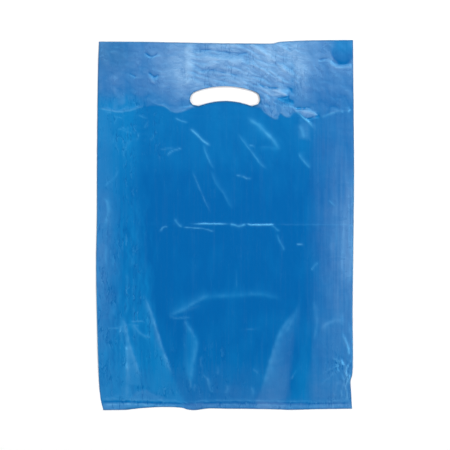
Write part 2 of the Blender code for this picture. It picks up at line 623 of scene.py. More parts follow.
def fold_crests() -> tuple[Crest, ...]:
    """Return the creases along the crosswise packing fold and off its ends."""
    return (
        Crest(
            ((-62, 10), (-60, 4), (-56, 0), (-52, -3)),
            height=0.3, left=1.2, right=1.0, pale=0.13, airy_and_shading=0.5, taper=0.25,
        ),
        Crest(
            ((-47, 3), (-36, 2), (-24, 2), (4, 2), (10, 1)),
            height=0.36, left=0.6, right=0.7, pale=0.2, airy_and_shading=0.5, roundness=0.5,
        ),
        Crest(
            ((5, 2), (11, 1), (17, -1), (23, 1), (27, 2)),
            height=0.3, left=0.9, right=1.3, pale=0.14, airy_and_shading=0.6, taper=0.15,
        ),
        Crest(
            ((25, 2), (33, 1), (53, 1), (62, 2)),
            height=0.42, left=0.6, right=0.7, pale=0.34, airy_and_shading=0.5, taper=0.15, roundness=0.5,
        ),
        Crest(
            ((-53, -2), (-32, -3), (-21, -5), (-12, -7)),
            height=0.24, left=0.6, right=0.8, pale=0.13, airy_and_shading=0.3, taper=0.15, roundness=0.5,
        ),
        Crest(
            ((-81, -9), (-79, -5), (-76, -2), (-69, -1)),
            height=0.21, left=0.7, right=0.8, pale=0.13, airy_and_shading=0.3, taper=0.25, roundness=0.5,
        ),
        Crest(
            ((56, 1), (61, -2), (68, -8)),
            height=0.24, left=0.9, right=1.3, pale=0.06, airy_and_shading=0.5, taper=0.25,
        ),
        Crest(
            ((64, -9), (67, -18), (70, -23), (74, -33)),
            height=0.24, left=1.0, right=1.3, pale=0.06, airy_and_shading=0.6, taper=0.2,
        ),
        Crest(
            ((87, -24), (92, -23), (98, -24)),
            height=0.18, left=0.6, right=0.6, pale=0.16, airy_and_shading=0.1, taper=0.25, roundness=0.5,
        ),
        Crest(
            ((62, 1), (80, 1), (103, 1), (160, 1)),
            height=0.12, left=0.6, right=0.7, pale=0.018, airy_and_shading=0.1, taper=0.1, roundness=0.5,
        ),
        Crest(
            ((106, -57), (110, -50), (116, -44)),
            height=0.24, left=0.9, right=0.9, pale=0.13, airy_and_shading=0.2, taper=0.25,
        ),
    )


def foot_crests() -> tuple[Crest, ...]:
    """Return the creases between the crosswise packing fold and the weld."""
    return (
        Crest(
            ((-73, -112), (-61, -108), (-47, -101), (-37, -95), (-27, -90), (-15, -83)),
            height=0.5, left=5.0, right=1.4, pale=0.05, airy_and_shading=0.6, taper=0.2, roundness=1.2,
        ),
        Crest(
            ((-31, -92), (-14, -88), (1, -87), (20, -86), (43, -85), (76, -92)),
            height=0.35, left=3.6, right=2.0, pale=0.02, airy_and_shading=0.5, taper=0.2, roundness=1.4,
        ),
        Crest(
            ((-72, -112), (-62, -114), (-51, -114), (-40, -113)),
            height=0.35, left=1.0, right=1.2, pale=0.05, airy_and_shading=0.4, taper=0.25,
        ),
        Crest(
            ((-61, -107), (-43, -103), (-26, -96)),
            height=0.18, left=1.5, right=3.5, pale=0.03, airy_and_shading=0.14, roundness=1.0,
        ),
        Crest(
            ((-50, -116), (-46, -124), (-41, -132), (-36, -140)),
            height=0.5, left=1.4, right=2.4, pale=0.06, airy_and_shading=0.5, taper=0.15, roundness=1.0,
        ),
        Crest(
            ((-38, -133), (-35, -149), (-37, -159), (-41, -174), (-42, -194)),
            height=0.45, left=1.6, right=4.0, pale=0.05, airy_and_shading=0.5, taper=0.2, roundness=1.4,
        ),
        Crest(
            ((-100, -81), (-97, -92), (-93, -103), (-85, -127), (-80, -144), (-73, -164), (-63, -189)),
            height=0.7, left=0.9, right=3.6, pale=0.15, airy_and_shading=0.4, taper=0.2,
        ),
        Crest(
            ((-129, -107), (-123, -124), (-118, -146), (-110, -171), (-101, -195)),
            height=0.5, left=1.6, right=4.4, pale=0.12, airy_and_shading=0.4, taper=0.2, roundness=1.0,
        ),
        Crest(
            ((-119, -142), (-120, -166), (-121, -191), (-122, -218)),
            height=0.4, left=3.2, right=3.4, pale=0.11, airy_and_shading=0.3, taper=0.2, roundness=1.4,
        ),
        Crest(
            ((-116, -119), (-103, -134), (-89, -139)),
            height=0.4, left=1.6, right=2.2, pale=0.07, airy_and_shading=0.6, taper=0.2,
        ),
        Crest(
            ((-97, -204), (-88, -208), (-78, -213), (-67, -215)),
            height=-0.3, left=0.8, right=1.0, pale=-0.03, airy_and_shading=-0.14, taper=0.2,
        ),
        Crest(
            ((-118, -119), (-109, -118), (-97, -119)),
            height=0.24, left=0.7, right=0.7, pale=0.08, airy_and_shading=0.38, taper=0.2,
        ),
        Crest(
            ((-150, -127), (-135, -127), (-120, -123), (-101, -124)),
            height=0.24, left=0.7, right=0.7, pale=0.06, airy_and_shading=0.29, taper=0.2,
        ),
        Crest(
            ((94, -87), (87, -107), (76, -119), (67, -134), (61, -151), (53, -177), (46, -201), (40, -218)),
            height=0.5, left=7.0, right=1.4, pale=0.06, airy_and_shading=0.5, roundness=1.4,
        ),
        Crest(((88, -109), (80, -122), (73, -137)), height=0.24, left=1.2, right=1.2, pale=0.04, airy_and_shading=0.19),
        Crest(
            ((89, -176), (85, -184), (81, -192)),
            height=0.3, left=1.2, right=1.0, pale=0.07, airy_and_shading=0.36, taper=0.25,
        ),
        Crest(
            ((93, -148), (88, -169), (85, -191), (88, -213)),
            height=-0.3, left=4.0, right=5.0, pale=-0.04, airy_and_shading=-0.19, taper=0.2, roundness=1.4,
        ),
        Crest(
            ((115, -132), (125, -122), (137, -117), (150, -117)),
            height=0.4, left=3.0, right=4.0, pale=0.08, airy_and_shading=0.1, taper=0.25, roundness=1.5,
        ),
        Crest(
            ((141, -129), (147, -139), (151, -150), (152, -160), (149, -168)),
            height=0.4, left=0.9, right=2.0, pale=0.07, airy_and_shading=0.2,
        ),
        Crest(
            ((134, -166), (141, -169), (150, -174)),
            height=0.24, left=0.8, right=0.9, pale=0.06, airy_and_shading=0.29, taper=0.25,
        ),
        Crest(
            ((129, -163), (139, -166), (147, -170)),
            height=0.4, left=0.8, right=1.0, pale=0.12, airy_and_shading=0.1,
        ),
        Crest(
            ((152, -171), (149, -180), (152, -189), (149, -198), (151, -208), (150, -218)),
            height=0.5, left=0.9, right=0.9, pale=0.24, airy_and_shading=0.1, taper=0.1,
        ),
        Crest(
            ((142, -189), (137, -200), (134, -216)),
            height=0.3, left=1.0, right=1.4, pale=0.05, airy_and_shading=0.1,
        ),
        Crest(
            ((145, -184), (147, -194), (144, -205), (146, -217)),
            height=0.4, left=0.9, right=0.9, pale=0.12, airy_and_shading=0.1, taper=0.2,
        ),
        Crest(
            ((155, -181), (154, -191), (156, -201), (154, -212)),
            height=0.3, left=0.8, right=0.8, pale=0.16, airy_and_shading=0.1, taper=0.2,
        ),
        Crest(
            ((149, -169), (139, -174), (127, -179), (116, -187)),
            height=0.3, left=0.9, right=1.6, pale=0.06, airy_and_shading=0.1, taper=0.25,
        ),
        Crest(
            ((147, -175), (136, -182), (125, -191), (114, -201)),
            height=0.3, left=0.9, right=1.4, pale=0.045, airy_and_shading=0.1, taper=0.25,
        ),
        Crest(
            ((108, -92), (113, -119), (109, -146)),
            height=0.21, left=1.5, right=1.8, pale=0.04, airy_and_shading=0.17, taper=0.2, roundness=1.0,
        ),
        Crest(((14, -52), (14, -67), (14, -82)), height=0.12, left=0.8, right=0.8, pale=0.02, airy_and_shading=0.1),
        Crest(
            ((15, -130), (30, -128), (46, -127)),
            height=0.15, left=0.7, right=0.8, pale=0.03, airy_and_shading=0.14, taper=0.25,
        ),
    )


def weld_crests() -> tuple[Crest, ...]:
    """Return the ridges that the weld's heat drew up along the foot."""
    return (
        Crest(
            ((-154, -215.6), (-135, -215.1), (-113, -215.3), (-93, -216.3), (-66, -217.1), (-43, -219.0)),
            height=0.35, left=0.9, right=0.7, pale=0.1, airy_and_shading=0.5, taper=0.04,
        ),
        Crest(
            (
                (-48, -218.8), (-24, -217.1), (1, -216.3), (31, -216.6), (68, -217.1), (105, -217.8),
                (155, -216.6),
            ),
            height=0.35, left=0.9, right=0.7, pale=0.06, airy_and_shading=0.35, taper=0.04,
        ),
        Crest(
            ((-153, -218.3), (-132, -217.8), (-110, -218.0), (-90, -219.0), (-66, -219.8), (-36, -220.8)),
            height=-0.3, left=0.7, right=0.8, pale=-0.12, airy_and_shading=-0.7, taper=0.04,
        ),
        Crest(
            ((-36, -220.3), (-4, -218.8), (31, -219.3), (68, -219.8), (108, -220.3), (155, -219.0)),
            height=-0.3, left=0.6, right=0.7, pale=-0.06, airy_and_shading=-0.4, taper=0.04,
        ),
        Crest(
            ((-152, -221.8), (-130, -220.8), (-105, -221.3), (-80, -223.2), (-56, -223.7)),
            height=0.3, left=0.9, right=0.9, pale=0.24, airy_and_shading=0.5, taper=0.1,
        ),
        Crest(
            ((-31, -223.7), (-6, -222.0), (26, -222.3), (63, -222.7), (93, -223.5), (153, -222.0)),
            height=0.25, left=0.8, right=0.8, pale=0.08, airy_and_shading=0.3, taper=0.1,
        ),
        Crest(
            ((-145, -214.6), (-137, -211.9), (-125, -211.4), (-113, -212.8)),
            height=0.35, left=0.9, right=0.9, pale=0.05, airy_and_shading=0.3, taper=0.25,
        ),
    )


def hem_crests() -> tuple[Crest, ...]:
    """Return the creases in the hem, left by packing and by a hand at the slot."""
    return (
        Crest(
            ((-100, 215), (-91, 209), (-82, 214)),
            height=-0.5, left=0.8, right=1.0, pale=-0.22, taper=0.2,
        ),
        Crest(((-95, 190), (-87, 184), (-81, 188)), height=-0.6, left=0.8, right=1.0, pale=-0.3, taper=0.2),
        Crest(((-96, 184), (-91, 180), (-85, 174)), height=0.4, left=1.6, right=1.2, pale=0.2),
        Crest(((-120, 190), (-114, 186), (-108, 184)), height=-0.4, left=1.2, right=1.4, pale=-0.16),
        Crest(
            ((-45, 226), (-45, 203), (-47, 170)),
            height=0.35, left=5.0, right=4.5, pale=0.16, taper=0.12, roundness=2.0,
        ),
        Crest(((-35, 224), (-36, 203), (-38, 180)), height=-0.3, left=1.5, right=1.5, pale=-0.1, taper=0.2),
        Crest(
            ((-35, 214), (-26, 217), (-9, 216), (4, 214), (19, 212), (31, 215)),
            height=-0.8, left=2.0, right=1.2, pale=-0.3, taper=0.1,
        ),
        Crest(
            ((-33, 189), (-25, 192), (-14, 192), (2, 188), (19, 185)),
            height=-0.8, left=2.0, right=1.2, pale=-0.3, taper=0.1,
        ),
        Crest(
            ((-31, 200), (-14, 202), (9, 198), (26, 190)),
            height=0.4, left=3.0, right=2.0, pale=0.08, roundness=1.2,
        ),
        Crest(
            ((-4, 199), (15, 195), (33, 187), (53, 180)),
            height=-0.5, left=1.8, right=1.5, pale=-0.15, taper=0.25,
        ),
        Crest(((-16, 182), (1, 178), (19, 176)), height=-0.35, left=1.4, right=1.4, pale=-0.1),
        Crest(((26, 224), (38, 219), (51, 211)), height=0.6, left=2.4, right=0.7, pale=0.2),
        Crest(((32, 210), (46, 203), (62, 198)), height=-0.5, left=1.4, right=1.2, pale=-0.16, taper=0.25),
        Crest(((27, 201), (40, 196), (52, 189)), height=0.6, left=2.0, right=0.7, pale=0.2),
        Crest(((51, 208), (61, 204), (74, 193)), height=0.4, left=1.6, right=1.0, pale=0.1),
        Crest(((53, 204), (64, 198), (73, 188)), height=-0.45, left=1.2, right=1.2, pale=-0.14),
        Crest(((31, 191), (43, 186), (53, 180)), height=-0.45, left=1.2, right=1.2, pale=-0.14),
        Crest(((67, 196), (73, 193), (77, 189)), height=0.5, left=3.5, right=1.0, pale=0.14),
        Crest(((63, 221), (72, 220), (76, 214)), height=0.4, left=3.0, right=1.5, pale=0.14),
        Crest(
            ((40, 177), (47, 172), (56, 170), (67, 170)),
            height=-0.9, left=1.0, right=0.7, pale=-0.6, airy_and_shading=0.5, taper=0.12,
        ),
        Crest(((56, 168), (66, 165), (78, 160)), height=0.7, left=3.6, right=1.2, pale=0.26, taper=0.2),
        Crest(
            ((64, 157), (71, 158), (80, 160)),
            height=-0.4, left=0.6, right=1.2, pale=-0.4, airy_and_shading=0.1, taper=0.15,
        ),
        Crest(
            ((67, 156), (77, 154), (87, 151)),
            height=-0.25, left=3.0, right=2.4, pale=-0.3, airy_and_shading=0.1, taper=0.2, roundness=1.2,
        ),
        Crest(
            ((45, 159), (53, 159), (64, 154)),
            height=0.5, left=4.0, right=4.0, pale=0.2, taper=0.25, roundness=1.5,
        ),
        Crest(
            ((43, 147), (48, 141), (54, 136), (62, 132), (67, 134)),
            height=0.25, left=2.4, right=0.9, pale=0.05, taper=0.15,
        ),
        Crest(
            ((68, 139), (73, 136), (79, 134), (85, 140)),
            height=0.2, left=2.2, right=0.9, pale=0.05, taper=0.2,
        ),
        Crest(((50, 165), (56, 157), (58, 147)), height=-0.4, left=1.0, right=1.0, pale=-0.12),
        Crest(
            ((74, 152), (83, 146), (93, 137), (103, 128), (109, 122), (114, 116)),
            height=0.5, left=1.1, right=1.3, pale=0.24,
        ),
        Crest(
            ((87, 145), (97, 145), (106, 145)),
            height=-0.7, left=0.9, right=0.7, pale=-0.4, airy_and_shading=0.2, taper=0.15,
        ),
        Crest(((92, 141), (101, 140), (115, 136)), height=0.5, left=2.6, right=3.2, pale=0.24, taper=0.2),
        Crest(
            ((99, 131), (108, 133), (118, 136)),
            height=-0.7, left=0.9, right=0.9, pale=-0.35, airy_and_shading=0.2, taper=0.15,
        ),
        Crest(
            ((116, 133), (126, 137), (137, 141), (157, 144)),
            height=0.4, left=1.2, right=2.2, pale=0.11, taper=0.15,
        ),
        Crest(
            ((92, 127), (95, 117), (100, 106)),
            height=0.3, left=3.5, right=3.5, pale=0.12, roundness=1.0,
        ),
        Crest(
            ((73, 175), (82, 168), (84, 158)),
            height=-0.35, left=2.5, right=2.5, pale=-0.16, roundness=1.0,
        ),
        Crest(
            ((83, 210), (84, 186), (82, 158)),
            height=-0.3, left=5.0, right=4.0, pale=-0.2, airy_and_shading=0.3, taper=0.2, roundness=2.0,
        ),
        Crest(((94, 205), (98, 180), (97, 158)), height=0.3, left=4.0, right=4.0, pale=0.09, roundness=2.0),
        Crest(((114, 204), (121, 206), (130, 208)), height=-0.4, left=1.2, right=1.2, pale=-0.14),
        Crest(
            ((131, 206), (136, 201), (146, 199), (157, 202)),
            height=-0.5, left=2.2, right=0.7, pale=-0.2, taper=0.12,
        ),
        Crest(
            ((126, 204), (135, 197), (146, 195), (158, 198)),
            height=0.4, left=1.0, right=4.0, pale=0.14, taper=0.12,
        ),
        Crest(
            ((-93, 154), (-84, 150), (-75, 148), (-67, 142), (-60, 140), (-52, 142), (-43, 147), (-32, 149)),
            height=0.3, left=1.2, right=0.8, pale=0.16, taper=0.15,
        ),
        Crest(
            ((-156, 146), (-140, 142), (-127, 141), (-113, 144), (-99, 148)),
            height=0.3, left=0.9, right=0.9, pale=0.16, taper=0.12,
        ),
    )


def strewn_crests() -> tuple[Crest, ...]:
    """Return the short creases that handling strewed over the left side and the foot."""
    fine = Crest((), height=0.12, left=0.7, right=0.8, pale=0.05, airy_and_shading=0.16)
    soft = Crest((), height=0.2, left=1.2, right=1.4, pale=0.02, airy_and_shading=0.12)
    broad = Crest((), height=0.25, left=1.1, right=1.5, pale=0.05, airy_and_shading=0.2)
    stretches = (
        Strewn(3, 14, (-116.0, 118.0), (28.0, 22.0), heading=35.0, spread=70.0, length=12.0, like=fine),
        Strewn(5, 14, (-130.0, -92.0), (20.0, 78.0), heading=92.0, spread=18.0, length=26.0, like=soft),
        Strewn(8, 10, (-10.0, -190.0), (52.0, 22.0), heading=105.0, spread=40.0, length=17.0, like=broad),
    )
    return tuple(crest for stretch in stretches for crest in stretch.crests())


def hem_patches() -> tuple[Patch, ...]:
    """Return the facets that a hand crumpled into the hem by the slot, and its standing bands."""
    return (
        Patch(((41, 172), (67, 169), (77, 161), (56, 160)), pale=0.26, lift=0.3, softness=0.5),
        Patch(((64, 157), (78, 160), (84, 150), (73, 152)), pale=-0.34, lift=-0.05, softness=0.7),
        Patch(
            ((45, 156), (56, 158), (63, 150), (64, 139), (58, 133), (50, 141)),
            pale=0.14, lift=0.25, softness=0.5,
        ),
        Patch(((71, 149), (82, 147), (84, 141), (76, 134), (69, 139)), pale=0.1, lift=0.25, softness=0.5),
        Patch(
            ((88, 142), (101, 144), (115, 137), (101, 133), (95, 136)),
            pale=0.17, lift=0.2, softness=0.5,
        ),
        Patch(((51, 158), (63, 158), (64, 151), (56, 158)), pale=-0.12, airy_and_shading=0.1, lift=-0.1, softness=0.6),
        Patch(((47, 152), (52, 152), (59, 142), (57, 139)), pale=-0.1, airy_and_shading=0.1, lift=-0.1, softness=0.6),
        Patch(((-50, 226), (-41, 226), (-40, 180), (-48, 175)), pale=0.09, lift=0.15),
        Patch(((-39, 226), (-32, 226), (-33, 180), (-38, 177)), pale=-0.05, lift=-0.1),
        Patch(((-30, 209), (19, 209), (26, 196), (-26, 202)), pale=0.06, lift=0.2, softness=1.6),
        Patch(((26, 226), (46, 221), (53, 210), (41, 215)), pale=0.08, lift=0.2),
        Patch(((63, 224), (76, 222), (78, 216), (72, 212)), pale=0.1, lift=0.2),
        Patch(((64, 200), (74, 198), (78, 190), (71, 189)), pale=0.1, lift=0.2),
        Patch(((46, 195), (61, 189), (69, 180), (53, 185)), pale=0.09, lift=0.2),
    )


def foot_patches() -> tuple[Patch, ...]:
    """Return the broad facets of the foot, where the panels were pressed flat."""
    return (
        Patch(
            ((-110, -205), (-98, -203), (-68, -216), (-118, -216)),
            pale=0.06, airy_and_shading=0.05, lift=0.15, softness=1.6,
        ),
        Patch(
            ((-121, -146), (-115, -154), (-103, -198), (-119, -196)),
            pale=0.03, airy_and_shading=0.35, lift=0.2, softness=1.6,
        ),
        Patch(
            ((108, -148), (120, -125), (151, -117), (157, -135), (157, -217), (106, -217)),
            pale=0.02, lift=0.1, softness=3.0,
        ),
        Patch(
            ((92, -154), (103, -144), (100, -216), (79, -216)),
            pale=-0.03, airy_and_shading=0.25, lift=-0.1, softness=6.0,
        ),
        Patch(((1, -198), (33, -200), (41, -218), (-6, -218)), pale=0.02, lift=0.1, softness=4.0),
        Patch(
            ((-93, -129), (-84, -142), (-61, -196), (-88, -206), (-98, -156)),
            pale=0.0, airy_and_shading=0.15, lift=0.1, softness=3.0,
        ),
        Patch(
            ((-47, -119), (-35, -142), (-35, -174), (-43, -196), (-51, -169)),
            pale=0.01, airy_and_shading=0.35, lift=0.2, softness=4.0,
        ),
        Patch(((93, 132), (104, 125), (105, 106), (92, 108)), pale=0.06, airy_and_shading=0.2, lift=0.1, softness=3.0),
    )


@dataclass(frozen=True)
class Relief:
    """The height of the bag's panels over the table, and the milkiness, painted sheen and painted shade in
    their film.

    Lengths are millimetres.

    Attributes:
        plateau: Height of the front panel's level middle.
        fold_height: Height at the side folds.
        packing_fold_x: Place of the lengthwise packing fold.
        packing_fold_y: Place of the crosswise packing fold.
        weld_y: Place of the weld up the bag.
        pressed_height: Height of the welded layers.
        hem: The turned-in hem.
    """

    plateau: float = 3.6
    fold_height: float = 1.4
    packing_fold_x: float = 109.0
    packing_fold_y: float = 0.0
    weld_y: float = -220.0
    pressed_height: float = 0.15
    hem: HemBand = HemBand()

    def level_middle(self, y: Grid) -> tuple[Grid, Grid]:
        """Return the left and right bounds of the panel's level middle at each y."""
        left = np.interp(y, (-215.0, -190.0, -85.0, 0.0, 140.0), (-52.0, -60.0, -99.0, -104.0, -112.0))
        right = np.interp(y, (-205.0, -154.0, -117.0, -88.0, -60.0), (46.0, 58.0, 71.0, 97.0, 109.0))
        return left, right

    def pillow(self, x: Grid, y: Grid, left_edge: Grid, right_edge: Grid) -> Grid:
        """Return the panel's broad shape: a level middle that falls to the folds.

        Args:
            x: Places across the bag.
            y: Places up the bag.
            left_edge: The left fold's x at each y.
            right_edge: The right fold's x at each y.

        Returns:
            Heights over the table.
        """
        left, right = self.level_middle(y)
        from_left = (x - left_edge) / (left - left_edge)
        from_right = (right_edge - x) / (right_edge - right)
        share = np.minimum(np.minimum(from_left, from_right), 1.0)
        share = np.sin(np.clip(share, 0.0, 1.0) * math.pi / 2.0)
        along = ramp(-216.0, -150.0, y) * (1.0 - 0.55 * ramp(130.0, 228.0, y))
        edge = self.fold_height * ramp(self.weld_y, self.weld_y + 40.0, y)
        body = self.pressed_height + edge + (self.plateau - self.fold_height) * share * along
        skirt = self.pressed_height + 0.7 * ramp(self.weld_y - 1.0, self.weld_y - 8.0, y)
        return np.where(y > self.weld_y, body, skirt)

    def creases(self, x: Grid, y: Grid) -> tuple[Grid, Grid, Grid]:
        """Return the lift, the milkiness and the parting of all single creases, the last two with painted
        highlights and shade.
        """
        lift = np.zeros_like(x)
        pale = np.zeros_like(x)
        airy_and_shading = np.zeros_like(x)
        drawn_up = y + 1.0 * WANDER.smooth(x / 8.0, 0.1 * y)
        lying = hem_crests() + body_crests() + fold_crests() + foot_crests() + strewn_crests()
        placed = [(crest, y) for crest in lying] + [(crest, drawn_up) for crest in weld_crests()]
        for crest, place_y in placed:
            profile = crest.shape(x, place_y)
            lift += crest.height * profile
            # A crest's milkiness also paints its highlight, and below 0 its shade.
            pale += crest.pale * (0.45 * profile + 0.75 * np.maximum(profile, 0.0) ** 3)
            airy_and_shading += crest.airy_and_shading * profile
        return lift, pale, airy_and_shading

    def facets(self, x: Grid, y: Grid) -> tuple[Grid, Grid, Grid]:
        """Return the lift, the milkiness and the parting of all single facets, the last two with painted
        sheen and shade.
        """
        lift = np.zeros_like(x)
        pale = np.zeros_like(x)
        airy_and_shading = np.zeros_like(x)
        for patch in hem_patches() + foot_patches():
            cover = patch.cover(x, y)
            lift += patch.lift * cover
            pale += patch.pale * cover
            airy_and_shading += patch.airy_and_shading * cover
        return lift, pale, airy_and_shading

    def packing_folds(self, x: Grid, y: Grid) -> Grid:
        """Return the lift of the folds that the bag was packed with."""
        across = 0.25 * np.exp(-np.abs(y - self.packing_fold_y) / 5.0)
        along = 0.22 * np.exp(-np.abs(x - self.packing_fold_x) / 3.0)
        return across + along

    def crumple(self, x: Grid, y: Grid) -> Grid:
        """Return the ripples of the handled hem, which run across it and down to the right."""
        fine = PlaneNoise(11)
        bend = PlaneNoise(13)
        rise = y + 0.1 * x + 0.42 * np.maximum(x - 22.0, 0.0) + 3.0 * bend.smooth(x / 18.0, y / 18.0)
        lean = x + 3.0 * bend.smooth(x / 14.0 + 9.0, y / 14.0)
        handled = ramp(-52.0, -34.0, x) * ramp(104.0, 70.0, x)
        ripples = -handled * fine.crinkle(lean / 30.0, rise / 8.0, 3)
        ripples -= 0.35 * (1.0 - handled) * fine.crinkle(lean / 20.0, rise / 16.0, 3)
        faceted = bell(66.0, 34.0, x) * ramp(172.0, 158.0, y)
        return ripples * (1.0 - 0.7 * faceted) * (1.0 - 0.9 * self.bubble(x, y))

    def crinkles(self, x: Grid, y: Grid) -> Grid:
        """Return the fine crinkle of the film, which differs from place to place."""
        fine = PlaneNoise(14)
        streak = PlaneNoise(12)
        cover = self.hem.cover(x, y)
        strip = ramp(-62.0, -120.0, x) * ramp(120.0, 60.0, y) * ramp(-225.0, -150.0, y)
        lift = 0.42 * cover * self.crumple(x, y)
        lift += 0.09 * fine.crinkle(x / 9.0 + 7.0, y / 11.0, 3)
        lift += 0.07 * strip * fine.crinkle(x / 6.0 + 3.0, y / 13.0, 3)
        upper = ramp(-60.0, -110.0, x) * bell(105.0, 40.0, y)
        lift += 0.14 * upper * fine.crinkle(x / 10.0 + 5.0, y / 8.0, 3)
        right = ramp(85.0, 125.0, x)
        lift += 0.09 * right * streak.smooth(x / 2.6, y / 60.0)
        lift += 0.03 * streak.smooth(x / 5.0 + 4.0, y / 90.0)
        foot = ramp(-140.0, -200.0, y) * ramp(120.0, 60.0, np.abs(x))
        lift += 0.16 * foot * fine.crinkle(x / 9.0 + 2.0, y / 12.0, 3)
        corner = ramp(120.0, 145.0, x) * ramp(-150.0, -175.0, y)
        lift += 0.3 * corner * fine.crinkle(x / 6.0, y / 11.0, 3)
        skirt = bell(self.weld_y - 2.0, 7.0, y)
        lift += 0.18 * skirt * fine.smooth(x / 3.0, y / 4.0)
        return lift

    def front(self, x: Grid, y: Grid, left_edge: Grid, right_edge: Grid) -> Grid:
        """Return the front panel's height over the table.

        Args:
            x: Places across the bag.
            y: Places up the bag.
            left_edge: The left fold's x at each y.
            right_edge: The right fold's x at each y.

        Returns:
            Heights, in millimetres.
        """
        height = self.pillow(x, y, left_edge, right_edge)
        height += self.hem.step * self.hem.cover(x, y)
        lift = self.packing_folds(x, y) + self.crinkles(x, y)
        lift += self.creases(x, y)[0] + self.facets(x, y)[0]
        free = ramp(self.weld_y + 1.0, self.weld_y + 14.0, y)
        free = np.maximum(free, 0.5 * ramp(self.weld_y - 1.0, self.weld_y - 4.0, y))
        return height + lift * free

    def back(self, x: Grid, y: Grid) -> Grid:
        """Return the back panel's height over the table, which it lies on."""
        noise = PlaneNoise(21)
        lift = np.maximum(noise.smooth(x / 34.0, y / 52.0), 0.0) ** 2 * 0.5
        lift += 0.25 * np.exp(-np.abs(y - self.packing_fold_y) / 3.0)
        lift += 0.25 * np.exp(-np.abs(x - self.packing_fold_x) / 3.0)
        return 0.03 + lift * ramp(self.weld_y, self.weld_y + 25.0, y)

    def bubble(self, x: Grid, y: Grid) -> Grid:
        """Return 1 over the air bubble in the hem's right corner and 0 off it."""
        soft = 0.09 + 0.6 * ramp(210.0, 228.0, y)
        return ramp(soft, -soft, np.hypot((x - 146.0) / 15.5, (y - 219.0) / 18.5) - 1.02)

    def haze_and_sheen(self, x: Grid, y: Grid) -> Grid:
        """Return how milky the film is, with painted sheen in its paler parts, from 0 where it is clear and
        smooth to 1.
        """
        soft = PlaneNoise(31)
        cover = self.hem.cover(x, y, 1.6)
        # The hem band, the side strips and the foot's swell are paler partly as painted sheen.
        band = 0.17 + 0.4 * ramp(-112.0, -42.0, x) - 0.3 * ramp(84.0, 122.0, x)
        band += 0.1 * bell(60.0, 24.0, x) * bell(215.0, 22.0, y)
        band *= 0.3 + 0.7 * ramp(146.0, 188.0 + 26.0 * ramp(90.0, 115.0, x), y)
        band *= 1.0 - 0.85 * self.bubble(x, y)
        right = 0.04 * ramp(98.0, 118.0, x) + ramp(108.0, 158.0, x) * (0.03 + 0.16 * bell(-25.0, 85.0, y))
        left = ramp(-122.0, -156.0, x) * (0.03 + 0.09 * bell(-35.0, 95.0, y))
        foot = 0.035 * ramp(-155.0, -212.0, y)
        spread = np.interp(y, (-216.0, -185.0, -152.0, -119.0, -87.0), (39.0, 51.0, 60.0, 75.0, 94.0))
        reach = np.interp(y, (-216.0, -185.0, -154.0, -129.0, -92.0), (74.0, 79.0, 83.0, 86.0, 98.0))
        swell = ramp(-2.0, 3.0, x - spread) * ramp(6.0, -6.0, x - reach)
        foot += 0.08 * swell * ramp(-90.0, -190.0, y)
        foot += 0.10 * ramp(self.weld_y + 1.0, self.weld_y - 1.0, y)
        total = (right + left + foot) * (1.0 - cover) + band * cover
        streaks = soft.smooth(x / 2.6, y / 70.0) * ramp(60.0, 120.0, x) * (1.0 - cover)
        total *= 1.0 + 0.3 * soft.smooth(x / 16.0, y / 30.0) + 0.45 * streaks
        # The hem's ripples are paler on their rises, as painted sheen.
        total += 0.17 * cover * self.crumple(x, y)
        return total

    def air(self, x: Grid, y: Grid) -> Grid:
        """Return how far air parts the layers, from 0 where they cling together to 1; the lighter blue this
        gives also paints light on the side strips, tilted facets and crest flanks.
        """
        soft = PlaneNoise(32)
        heights = (-215.0, -183.0, -157.0, -136.0, -55.0, 60.0)
        parting = np.interp(y, heights, (-50.0, -64.0, -74.0, -84.0, -89.0, -98.0))
        # The upper body and the left strip are drawn lighter, partly as painted light.
        share = 0.4 * ramp(25.0, 125.0, y)
        share += 0.5 * ramp(3.0, -7.0 - 18.0 * ramp(-80.0, 0.0, y), x - parting)
        share += 0.3 * ramp(-70.0, -215.0, y) + 0.15 * ramp(80.0, 125.0, x) * ramp(90.0, 0.0, y)
        share *= 1.0 - 0.6 * ramp(95.0, 125.0, x) * ramp(0.0, 90.0, y)
        share *= 1.0 - 0.85 * self.hem.cover(x, y) * ramp(146.0, 175.0, y)
        # A lighter band in the lower right, partly painted light.
        leaning = ramp(22.0, 12.0, np.abs(x - 0.23 * y - 66.0)) * ramp(60.0, 68.0, x)
        share += 0.35 * leaning * ramp(-80.0, -130.0, y)
        share += 0.6 * self.bubble(x, y) * ramp(208.0, 222.0, y)
        share += 0.16 * soft.smooth(x / 22.0, y / 34.0) + 0.1 * soft.smooth(x / 7.0, y / 22.0)
        wavy = x + 2.5 * soft.smooth(x / 9.0 + 3.0, y / 9.0)
        share += 0.3 * ramp(-70.0, -100.0, x) * ramp(60.0, 0.0, y) * soft.smooth(wavy / 3.4, y / 24.0)
        return share

    def crinkled(self, x: Grid, y: Grid) -> Grid:
        """Return how finely crinkled the film is, from 0 where it is smooth to 1."""
        left = ramp(4.0, -12.0, x - self.level_middle(y)[0]) * ramp(150.0, 60.0, y)
        left *= 0.4 + 0.6 * bell(-88.0, 48.0, y)
        upper = 0.7 * ramp(-55.0, -95.0, x) * bell(120.0, 42.0, y)
        foot = 0.35 * ramp(-125.0, -165.0, y) * ramp(40.0, -20.0, x)
        corner = 0.9 * ramp(118.0, 140.0, x) * ramp(-140.0, -170.0, y)
        band = self.hem.cover(x, y) * (0.12 + 0.5 * ramp(-60.0, -35.0, x) * ramp(110.0, 80.0, x))
        skirt = ramp(self.weld_y + 3.0, self.weld_y, y)
        most = np.maximum.reduce([left, upper, foot, corner, band, skirt])
        return np.clip(0.12 + most, 0.0, 1.0)

    def darkened(self, x: Grid, y: Grid) -> Grid:
        """Return how much darker the film is drawn in the hem's left corner."""
        return 0.32 * ramp(-104.0, -134.0, x) * ramp(178.0, 212.0, y)

